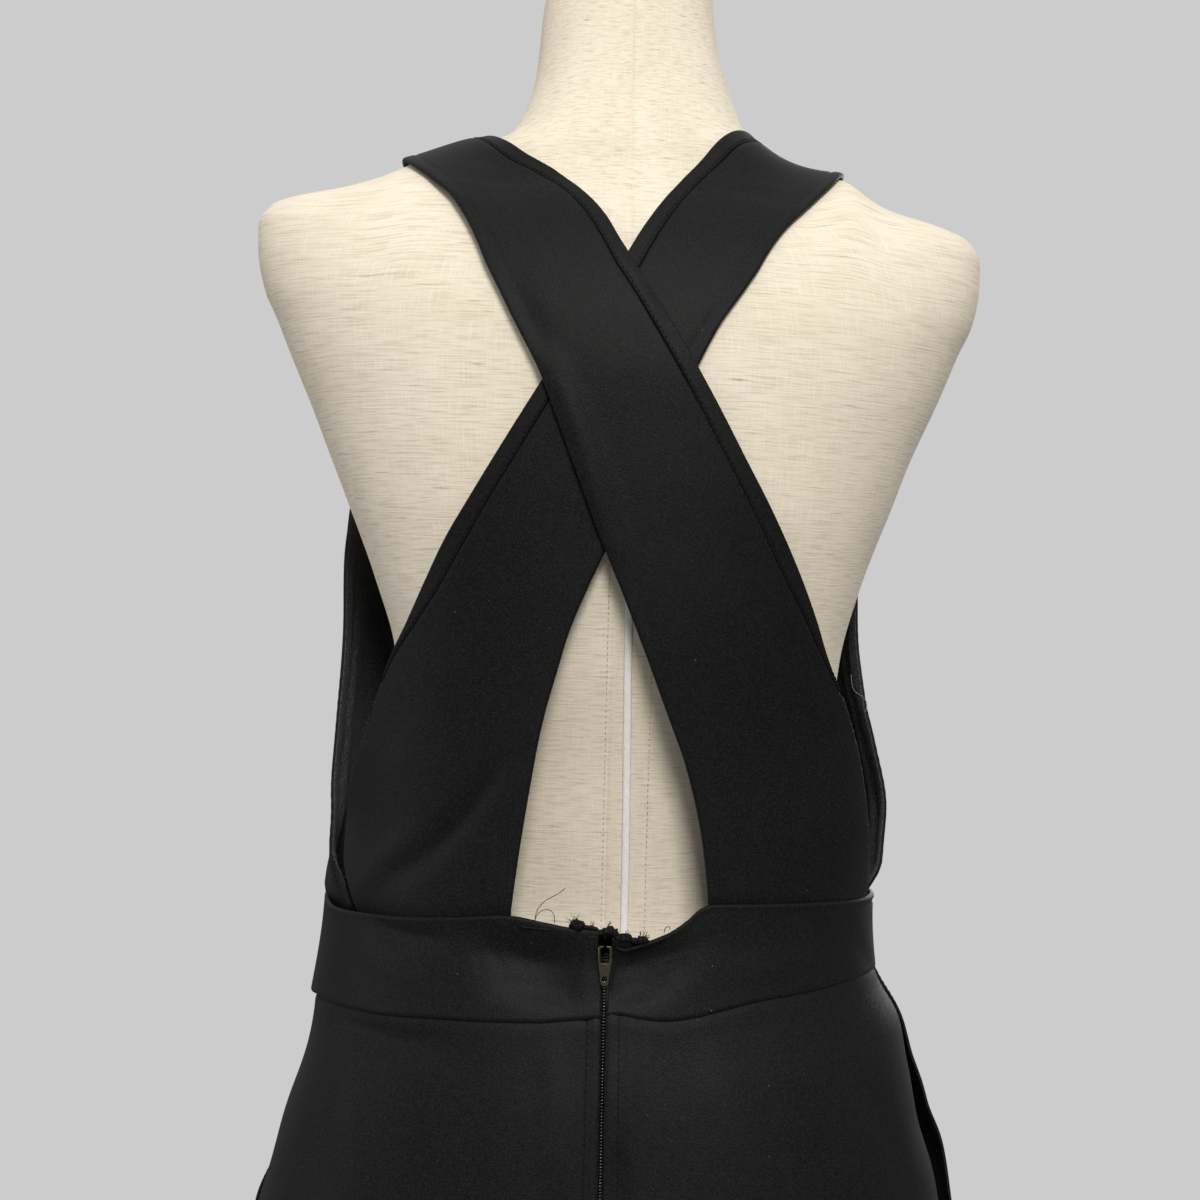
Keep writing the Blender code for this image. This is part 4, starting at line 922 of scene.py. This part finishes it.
def bodice_fronts(look, inside, thread, seams):
    """The front halves with turned neck and armhole edges, their stitches and folds."""
    for label, table in (("left", FRONT_LEFT), ("right", FRONT_RIGHT)):
        armhole_top, neck_top = seams[label] if label == "left" else seams[label][::-1]
        turn = np.linspace(0, math.pi / 2, FRONT_COLUMNS)
        share = (turn / turn[-1])[:, None]
        power = 2.0 / FRONT_ROUNDNESS
        rows = [neck_top + SHOULDER_SEAM_STEP + (armhole_top - neck_top) * share]
        for nx, ny, nh, ax, ay, ah, roundness in table:
            line = np.array([nx, ny, nh]) + (np.array([ax, ay, ah]) - (nx, ny, nh)) * share
            arc = np.stack([nx + (ax - nx) * np.sin(turn) ** power, ay + (ny - ay) * np.cos(turn) ** power,
                            nh + (ah - nh) * share[:, 0]], axis=-1)
            rows.append(line * (1 - roundness) + arc * roundness)
        grid = sit_on_waist(settle(through(np.array(rows), FRONT_ROWS)[::-1]))
        near = 1 - ramp(0.0, 0.040, inset(grid, 3))
        rise = grid[..., 2]
        closer = 0.0018 * np.exp(-((rise - 0.034) / 0.018) ** 2)
        closer += 0.0080 * (1 - ramp(-0.002, 0.024, rise))
        closer -= (0.0030 if label == "left" else 0.0) * np.exp(-((rise - 0.180) / 0.030) ** 2)
        grid[..., 0] += (1 if label == "left" else -1) * closer * near
        grid = tucked(creased(grid, FRONT_CREASES, inset(grid, 3)))
        relief = sum(hem(inset(grid, side), FRONT_HEM, 0.0005) for side in (2, 3))
        # The inner faces take the inside knit, which is partly painted light.
        front, face = shell("front_" + label, grid, STRAP_WALL, BODICE_EDGES, look, relief, inside=inside)
        bits = Bits()
        for side in (2, 3):
            bits.stitches(*line_at(face, side, FRONT_HEM + HEM_STITCH_GAP))
        sewn = bits.made("stitches_front_" + label, thread, "scuba")


def waistband_pieces(look, thread):
    """The waistband in two back pieces that the zip parts, and one front piece."""
    heights = np.linspace(0, 1, WAISTBAND_ROWS)[:, None]
    middle = -0.025
    zip_line = float(np.degrees(zip_angle(middle)))
    gap = math.degrees(ZIP_HALF_GAP / read(HULL, 4, middle))
    seam = math.degrees(SEAM / 2 / read(HULL, 3, middle))
    for label, start, end, count, width in (
        ("back_left", -90.0 + seam, zip_line - gap, 100, 0.205),
        ("back_right", zip_line + gap, 90.0 - seam, 100, 0.180),
        ("front", 90.0 + seam, 270.0 - seam, 150, 0.390),
    ):
        angles = np.linspace(start, end, count)[None, :]
        wrapped = np.where(angles > 180, angles - 360, angles)
        top, low = read(WAISTLINE, 1, wrapped), read(WAISTLINE, 2, wrapped) + SEAM / 2
        grid = ring(HULL, low + (top - low) * heights, np.radians(angles))
        grid = creased(grid, WAISTBAND_CREASES, around(grid) * DEGREE, DEGREE)
        below = inset(grid, 1)
        curl = 0.45 + 0.55 * ramp(8.0, 22.0, wrapped)
        relief = curl * (groove(below, 0.0014, 0.0012, -0.0007) + groove(below, 0.0037, 0.0011, 0.0008))
        if label != "front":
            towards = 1 if label == "back_left" else -1
            near = 1 - ramp(0.0, 0.006, inset(grid, 3 if label == "back_left" else 2))
            grid[..., 0] += towards * ZIP_OVERLAP * near
        piece, face = shell("waistband_" + label, grid, WAIST_WALL, WAISTBAND_EDGES, look, relief)
        bits = Bits()
        sewn_edge(bits, face, 0, 0.0017, 0.0018)
        sewn = bits.made("seam_waistband_" + label, thread, "scuba")


def shorts_pieces(look, inside, thread):
    """Four panels with their topstitching, and a facing inside each gaping pocket."""
    for side, label in ((-1, "left"), (1, "right")):
        back, back_seam = shorts_grid(side, 1)
        front, front_seam = shorts_grid(side, -1)
        near_side = ramp(0.62, 1.0, np.linspace(0, 1, SHORTS_COLUMNS))
        front[..., 0] += side * POCKET_GAPE * pocket_bulge(front[..., 2]) * near_side
        for name, grid, seam_x in (("back_", back, back_seam), ("front_", front, front_seam)):
            grid = softened(under_waistband(grid))
            grid = creased(grid, SHORTS_CREASES, around(grid) * DEGREE, DEGREE)
            outer_side = ramp(0.55, 1.0, np.linspace(0, 1, SHORTS_COLUMNS))
            grid[..., 0] += side_shift(name + label, grid[..., 2]) * outer_side
            grid = tucked(grid, 0.0010, 0.0022, 0.0070)
            seam_x = np.concatenate([[seam_x[0]] * TUCK_ROWS, seam_x])
            is_back = name == "back_"
            if is_back:
                near = 1 - ramp(0.0, 0.006, inset(grid, 2))
                near *= ramp(ZIP_FOOT_H - 0.006, ZIP_FOOT_H, grid[..., 2])
                grid[..., 0] -= side * ZIP_OVERLAP * near
            relief = groove(inset(grid, 1), HEM_STITCH, 0.0010, 0.0006)
            if is_back:
                opened = ramp(ZIP_END_H - 0.004, ZIP_END_H + 0.004, grid[..., 2])
                from_zip = inset(grid, 2)
                relief += groove(from_zip, ZIP_STITCH, 0.0018, 0.0014) * opened
                relief -= groove(from_zip, ZIP_STITCH * 0.45, 0.0022, 0.0008) * opened
            else:
                along = ramp(POCKET_END_H, POCKET_END_H + 0.01, grid[..., 2])
                relief += groove(inset(grid, 3), POCKET_STITCH, 0.0010, 0.0005) * along
            # The fronts' inner faces take the inside knit, which is partly painted light.
            panel, face = shell("shorts_" + name + label, grid, SHORTS_WALL, SHORTS_EDGES, look, relief,
                                seam_x, side, None if is_back else inside)
            bits = Bits()
            if not is_back:
                sewn_edge(bits, face, 2, 0.0016, 0.0016)
            bits.stitches(*line_at(face, 1, HEM_STITCH))
            edge, at, low = (2, ZIP_STITCH, ZIP_END_H) if is_back else (3, POCKET_STITCH, POCKET_END_H)
            points, ways = line_at(face, edge, at)
            kept = (points[:, 2] > low) & (points[:, 2] < 0.0)
            bits.stitches(points[kept], ways[kept])
            sewn = bits.made("stitches_shorts_" + name + label, thread, "scuba")
        heights = np.linspace(*FACING_HEIGHTS, 40)[:, None]
        angles = side * np.radians(np.linspace(*FACING_ARC, 24))
        facing = ring(HULL, heights, angles, outset=-FACING_WALL - FACING_DEPTH)
        inward = [-side * side_shift(name + label, heights) for name in ("back_", "front_")]
        facing[..., 0] -= side * np.maximum(0.0006, np.maximum(*inward))
        piece, _ = shell("pocket_facing_" + label, facing, FACING_WALL, [FREE_EDGE] * 4, look)


def zip_pieces(look, nylon):
    """The zip's tape, its closed coil and the two rows of thread along it."""
    line = [(-TAPE_HALF_WIDTH, -0.0078), (-0.0036, -0.0018), (0.0036, -0.0018), (TAPE_HALF_WIDTH, -0.0078)]
    section = line + [(x, y + 0.0009) for x, y in line[::-1]]
    count = len(section)
    verts = []
    heights = np.linspace(ZIP_FOOT_H, ZIP_TOP_H, 60)
    for h in heights:
        here, across, out = zip_frame(h)
        verts += [here + across * x + out * y + (0.0, 0.0, WAIST_Z) for x, y in section]
    faces = sleeve(len(heights), count)
    for start in (0, len(verts) - count):
        faces += [tuple(start + k for k in (j, j + 1, count - 2 - j, count - 1 - j)) for j in range(3)]
    tape = add_piece("zip_tape", verts, faces, look, ("zip",))
    coil = Bits()
    for h in np.arange(ZIP_FOOT_H, ZIP_TOP_H - 0.004, TOOTH_PITCH):
        here, across, out = zip_frame(h)
        coil.lens(here + out * 0.0006, across + (0.0, 0.0, 0.2), out, 0.0020, 0.0011, 0.0013)
    for side in (-1, 1):
        line = []
        for h in heights:
            here, across, out = zip_frame(h)
            line.append(here + across * side * 0.0014 - out * 0.0001)
        coil.tube(line, 0.00030)
    teeth = coil.made("zip_coil", nylon, "zip_cloth")


def rounded(piece, width, body):
    """Breaks a hard piece's edges and lets it ride with a body."""
    rounding = piece.modifiers.new("rounding", "BEVEL")
    rounding.width, rounding.segments = width, 2
    rounding.limit_method, rounding.angle_limit = "ANGLE", math.radians(25)
    piece.data.shade_smooth()
    piece.data.set_sharp_from_angle(angle=math.radians(50))
    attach(piece, body)
    return piece


def bevelled(name, node, look, width):
    """A hard piece on its solid's own shape, with its edges broken."""
    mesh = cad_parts[node].data.copy()
    piece = placed(name, mesh)
    shape = bmesh.new()
    shape.from_mesh(mesh)
    bmesh.ops.remove_doubles(shape, verts=shape.verts, dist=1e-6)
    bmesh.ops.dissolve_limit(shape, angle_limit=math.radians(1), verts=shape.verts, edges=shape.edges)
    shape.to_mesh(mesh)
    shape.free()
    mesh.materials.clear()
    mesh.materials.append(look)
    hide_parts(node)
    return rounded(piece, width, BODY)


def pull_tab(look):
    """The pull tab: a flat plate with a window at its top and a hole near its rounded end."""
    solid = np.array([v.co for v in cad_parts["pull_tab"].data.vertices])
    low, high = solid.min(axis=0), solid.max(axis=0)
    middle, top = (low + high) / 2, high[2]
    side = [(2.4, 0), (3.1, -0.3), (3.4, -1), (3.4, -8), (3, -11.2), (2.4, -15), (2.1, -18.2),
            (1.5, -19.6), (0.6, -20.1)]
    window = [(1.8, -1), (2.3, -1.5), (2.3, -8.2), (1.8, -8.7)]
    loops = [half + [(-x, z) for x, z in half[::-1]] for half in (side, window)]
    loops.append([(1.3 * math.cos(t), 1.4 * math.sin(t) - 16.6)
                  for t in np.linspace(0, 2 * math.pi, 20, endpoint=False)])
    shape = bmesh.new()
    edges = []
    for loop in loops:
        ring_verts = [shape.verts.new((middle[0] + x / 1000, low[1] + 0.0001, top + z / 1000))
                      for x, z in loop]
        edges += [shape.edges.new((a, b)) for a, b in zip(ring_verts, ring_verts[1:] + ring_verts[:1])]
    bmesh.ops.triangle_fill(shape, use_beauty=True, edges=edges)
    faces = bmesh.ops.extrude_face_region(shape, geom=list(shape.faces))["geom"]
    for corner in faces:
        if isinstance(corner, bmesh.types.BMVert):
            corner.co.y += high[1] - low[1] - 0.0002
    verts = [v.co.copy() for v in shape.verts]
    shape.verts.index_update()
    faces = [tuple(v.index for v in face.verts) for face in shape.faces]
    shape.free()
    piece = add_piece("zip_pull", verts, faces, look, ("pull_tab",))
    return rounded(piece, 0.00022, "pull")


def frayed_edge(look):
    """The raw, curled top edge on both sides of the slider, with its loose ends."""
    bits = Bits()
    rolls = (
        ([(-48, -3.2), (-40, -4), (-30, -4.6), (-21.5, -4)], 0.7),
        ([(-22.2, -3), (-21, -1.8), (-19.2, -1.8), (-18, -3.2)], 3),
        ([(-17.8, -3.4), (-14.2, -2.8), (-10.4, -3.6), (-8, -5.6)], 1.3),
        ([(-17, -4.6), (-14, -7.4), (-10.6, -7.8), (-8.4, -5.8)], 1.2),
        ([(-7.2, -5.8), (-5, -4.8), (-2.2, -4.8), (0.2, -6.4)], 2.6),
        ([(-0.4, -7.4), (2.2, -8.4), (4.8, -7.8), (6.2, -9.2)], 1.7),
        ([(4.6, -7), (6.6, -7.4), (9, -9), (10.4, -8)], 1.5),
        ([(8.8, -9.6), (11, -8.8), (13.4, -8.4), (15.4, -9.2)], 2.2),
        ([(-0.6, -12.2), (4, -13.8), (9.5, -12.4), (16, -10.4), (25, -7)], 0.8),
    )
    draw = np.random.default_rng(5)
    for line, radius in rolls:
        across = through(np.array([(x, 0.0, h) for x, h in line]) / 1000, 15)
        across[:, 1] = ring(HULL, across[:, 2], zip_angle(0.0))[:, 1] - 0.0018
        across[:, 1] += 0.0003 * draw.standard_normal(15)
        swell = radius / 1000 * (0.62 + 0.38 * np.sin(np.linspace(0.15, math.pi - 0.15, 15)))
        bits.tube(across, swell * (1 + 0.16 * draw.standard_normal(15)), sides=12)
    tufts = ((-0.0222, -0.0004, 140), (-0.0200, 0.0010, 100), (0.0134, -0.0060, 55), (0.0150, -0.0070, 30),
             (0.0120, -0.0062, 75), (-0.0120, -0.0020, 95), (-0.0040, -0.0018, 80), (0.0040, -0.0066, 70))
    for x, h, way in tufts:
        for _ in range(5):
            turn = math.radians(way + draw.uniform(-35, 35))
            length = draw.uniform(0.0012, 0.0034)
            start = np.array([x + draw.uniform(-0.001, 0.001), -0.1145, h + draw.uniform(-0.001, 0.0005)])
            end = start + length * np.array([math.cos(turn), draw.uniform(-0.3, 0.1), math.sin(turn)])
            middle = (start + end) / 2 + draw.uniform(-0.0003, 0.0003, 3)
            bits.tube(through([start, middle, end], 5), 0.00011, sides=5)
    return bits.made("frayed_edge", look, "scuba")


def loose_threads(look, lint):
    """Thread ends at the waistband's raw edge, and a pale fibre on the right front."""
    bits = Bits()
    lines = (
        [(-41.2, -112, -1.2), (-40.2, -111.2, 4), (-37, -110.8, 8.6), (-32, -110.6, 11.8),
         (-29, -111, 13.6), (-26.2, -111.6, 16)],
        [(-41, -112.2, 0), (-39.4, -111.6, 3.2), (-36.2, -111.2, 5), (-33, -111.4, 4.6),
         (-31.4, -112, 2.2), (-31.2, -112.6, -1.4)],
        [(23.8, -114, -5), (24.6, -114.2, -2.2), (26.2, -114.2, -1.6), (26.8, -114, -3)],
    )
    for line in lines:
        bits.tube(through(np.array(line) / 1000, 24), 0.00018, sides=5)
    bits.made("thread_ends", look, "scuba")
    fibre = Bits()
    fibre_line = np.array([(124, -26.5, 124), (126.2, -27, 115), (130, -26.2, 112.5), (133, -25.8, 109),
                           (132.5, -26.2, 104)]) / 1000
    fibre.tube(through(fibre_line, 24), 0.00013, sides=5)
    fibre.made("lint_fibre", lint, "scuba")


def form_pieces(look, tape_look, thread):
    """The linen form with its seams, and the flat cord and stitching of its back closing."""
    evenly = np.linspace(0, 2 * math.pi, 180, endpoint=False)
    near = np.radians([0.25, 0.6, 1.1, 1.7, 2.5, 3.4, 4.4, 5.4, 6.6, 7.6, 8.8])
    angles = np.unique(np.round(np.concatenate([evenly, near, 2 * math.pi - near]), 6))
    lowest = [-0.270, -0.2695, -0.2680, -0.2655, -0.2620, -0.258]
    heights = np.concatenate([lowest, np.arange(-0.252, 0.330, 0.006), np.arange(0.332, 0.425, 0.0016),
                              np.arange(0.428, NECK_H, 0.005), [NECK_H]])
    rows = []
    for h in heights:
        rounding = 0.008 * (1 - math.sqrt(max(0.0, 1 - (1 - min((h + 0.270) / 0.010, 1.0)) ** 2)))
        rows.append(ring(FORM, h, angles, outset=-rounding))
    grid = np.array(rows)
    x = grid[..., 0]
    is_back = grid[..., 1] < read(FORM, 2, grid[..., 2])
    level = grid[..., 2].copy()
    sunk = groove(x, -0.001, 0.0011, 0.0009) * np.where(is_back, ramp(0.270, 0.300, level), 1.0)
    placket = is_back * (1 - ramp(0.215, 0.235, level))
    sunk += placket * sum(groove(x, at, 0.0010, 0.0007) for at in PLACKET_X)
    out = np.stack([x - read(FORM, 1, level), grid[..., 1] - read(FORM, 2, level), 0 * x], axis=-1)
    out /= np.linalg.norm(out, axis=-1, keepdims=True)
    grid = grid + out * sunk[..., None]
    far = (np.abs(x - read(FORM, 1, level)) / read(FORM, 3, level)) ** 2
    grid[..., 0] += far * np.where(x < 0, read(FORM_FIT, 1, level), -read(FORM_FIT, 2, level))
    shoulder = ramp(0.110, 0.140, np.abs(x)) * ramp(0.300, 0.340, level)
    grid[..., 2] -= drop(x, level) + FORM_SHOULDER_FALL * shoulder
    rows_count, count = grid.shape[:2]
    verts = list(grid.reshape(-1, 3) + (0.0, 0.0, WAIST_Z))
    faces = sleeve(rows_count, count)
    uvs = []
    for h in heights:
        for angle in angles:
            folded = min(angle, 2 * math.pi - angle)
            uvs.append((folded * 0.16, h + (0.0 if angle <= math.pi else 0.9)))
    for i in (0, rows_count - 1):
        hub = len(verts)
        verts.append(np.mean(verts[i * count:(i + 1) * count], axis=0))
        uvs.append((0.0, heights[i]))
        faces += [(hub, i * count + j, i * count + (j + 1) % count) for j in range(count)]
    add_piece("form_linen", verts, faces, look, ("torso",), uvs)

    def on_back(x, h, outset):
        angle = 0.0
        for _ in range(6):
            point = ring(FORM, h, angle, outset=outset)
            angle += (x - point[0]) / 0.1
        point = ring(FORM, h, angle, outset=outset)
        point[2] -= drop(point[0], h)
        return point

    bits = Bits()
    heights = np.linspace(-0.040, 0.212, 90)
    for at in (PLACKET_X[0] - 0.0012, PLACKET_X[1] + 0.0012):
        points = np.array([on_back(at, h, 0.0001) for h in heights])
        bits.stitches(points, np.broadcast_to((0.0, -1.0, 0.0), points.shape), length=0.0016, pitch=0.0030,
                      width=0.0005, height=0.0005)
    bits.made("form_stitches", thread, "linen")
    verts = []
    section = [(-0.0021, 0.0), (-0.0018, 0.0006), (-0.0009, 0.0009), (0.0, 0.00095), (0.0009, 0.0009),
               (0.0018, 0.0006), (0.0021, 0.0)]
    for h in heights:
        at = 0.0043 - 0.0017 * ramp(0.0, 0.18, h)
        verts += [on_back(at + across, h, 0.0002 + rise) + (0.0, 0.0, WAIST_Z) for across, rise in section]
    add_piece("form_tape", verts, sleeve(len(heights), len(section), capped=True), tape_look)


def light(name, place, target, width, power, colour=(1.0, 1.0, 1.0)):
    """A soft square lamp aimed at a point."""
    data = bpy.data.lights.new(name, "AREA")
    data.size, data.energy, data.color = width, power, colour
    lamp = placed(name, data)
    lamp.location = place
    lamp.rotation_euler = (Vector(target) - Vector(place)).to_track_quat("-Z", "Y").to_euler()


def studio():
    """Pale floor, plain backdrop tone, soft lamps and the camera of the photograph."""
    floor_mesh = bpy.data.meshes.new("floor")
    count = 96
    turns = np.linspace(0, 2 * math.pi, count, endpoint=False)
    rim = [(FLOOR_RADIUS * math.cos(turn), FLOOR_RADIUS * math.sin(turn), -0.0005) for turn in turns]
    floor_mesh.from_pydata(rim, [], [tuple(range(count))])
    floor = placed("floor", floor_mesh)
    look = plain_material("pale_floor", 0.8, ((0.27, 0.27, 0.27), (0.31, 0.31, 0.31)), 2.0)
    floor_mesh.materials.append(look)

    world = bpy.data.worlds.new("studio")
    world.use_nodes = True
    bpy.context.scene.world = world
    tree = world.node_tree
    surround = tree.nodes["Background"]
    surround.inputs["Color"].default_value = (1.0, 1.0, 1.0, 1.0)
    height = add(tree, "SeparateXYZ", Vector=add(tree, "TexCoord").outputs["Generated"]).outputs["Z"]
    tree.links.new(span(tree, height, -0.15, 0.90, *AMBIENT), surround.inputs["Strength"])
    backdrop = add(tree, "Background")
    backdrop.inputs["Color"].default_value = (*BACKDROP, 1.0)
    seen = add(tree, "LightPath").outputs["Is Camera Ray"]
    mix = add(tree, "MixShader")
    tree.links.new(seen, mix.inputs[0])
    tree.links.new(surround.outputs[0], mix.inputs[1])
    tree.links.new(backdrop.outputs[0], mix.inputs[2])
    tree.links.new(mix.outputs[0], tree.nodes["World Output"].inputs["Surface"])

    target = (0.0, 0.0, 1.20)
    light("key", (0.50, -4.05, 3.95), target, 1.50, KEY_POWER, (1.0, 0.985, 0.95))
    light("left", (-2.4, -0.5, 1.3), target, 0.8, LEFT_POWER, (1.0, 0.99, 0.98))
    light("right", (2.3, -0.8, 1.5), target, 0.8, RIGHT_POWER, (0.97, 0.985, 1.0))
    light("front", (0.9, 2.5, 1.7), target, 1.4, FRONT_POWER)

    camera = placed("camera", bpy.data.cameras.new("camera"))
    camera.location = CAMERA_PLACE
    turn = Matrix.Rotation(math.radians(90), 4, "X") @ Matrix.Rotation(CAMERA_ROLL, 4, "Z")
    camera.rotation_euler = turn.to_euler()
    camera.data.lens, camera.data.sensor_width = CAMERA_LENS, 36.0
    bpy.context.scene.camera = camera
    bpy.context.scene.view_settings.view_transform = "Standard"


def main():
    """Dresses the frame and lights it."""
    scuba = scuba_material()
    tape = plain_material("white_tape", 0.7, ((0.80, 0.76, 0.72), (0.90, 0.88, 0.86)),
                          (900.0, 900.0, 320.0), spread=(0.3, 0.7), press=(0.4, 0.0002), specular=0.3)
    zipper = plain_material("zip_black", 0.7, ((0.003, 0.003, 0.0035), (0.008, 0.008, 0.009)),
                            (2200.0, 2200.0, 1300.0), press=(0.4, 0.00015), specular=0.10)
    steel = plain_material("satin_paint", 0.4, ((0.020, 0.020, 0.021), (0.034, 0.034, 0.035)), 9.0, 4.0,
                           press=(0.2, 0.0002), fine=700.0, dull=(0.34, 0.50))
    wood = plain_material("pale_wood", 0.46, ((0.44, 0.29, 0.16), (0.66, 0.49, 0.31)), (18.0, 260.0, 60.0),
                          4.0, 0.6, (0.32, 0.68), (0.25, 0.0002))
    thread = thread_material("black_thread", (0.003, 0.003, 0.0033), 0.8)
    cream = thread_material("cream_thread", (0.62, 0.52, 0.40))
    pale = thread_material("pale_lint", (0.30, 0.30, 0.31))
    form_pieces(linen_material(), tape, cream)
    # The knit of the inner faces: partly the duller wrong side, partly painted light, nine times brighter
    # than the outside and with a cool tint.
    inside = scuba_material("scuba_wrong_side_and_painted_light", 9.0, (0.93, 0.98, 1.06))
    bodice_fronts(scuba, inside, thread, back_straps(scuba, thread))
    waistband_pieces(scuba, thread)
    shorts_pieces(scuba, inside, thread)
    zip_pieces(zipper, thread_material("black_nylon", (0.010, 0.010, 0.011), 0.16))
    frayed_edge(scuba)
    loose_threads(thread, pale)
    bevelled("zip_body", "zip_slider", metal_material("dark_metal", 0.012), 0.00012)
    pull_tab(metal_material("antique_metal", 1.0))
    bevelled("cap", "neck_cap", wood, 0.0008)
    stand = {"pole": 0.0003, "pole_collar": 0.0006, "form_socket": 0.0004, "base": 0.0008}
    for node, width in stand.items():
        bevelled("smooth_" + node, node, steel, width)
    studio()


main()
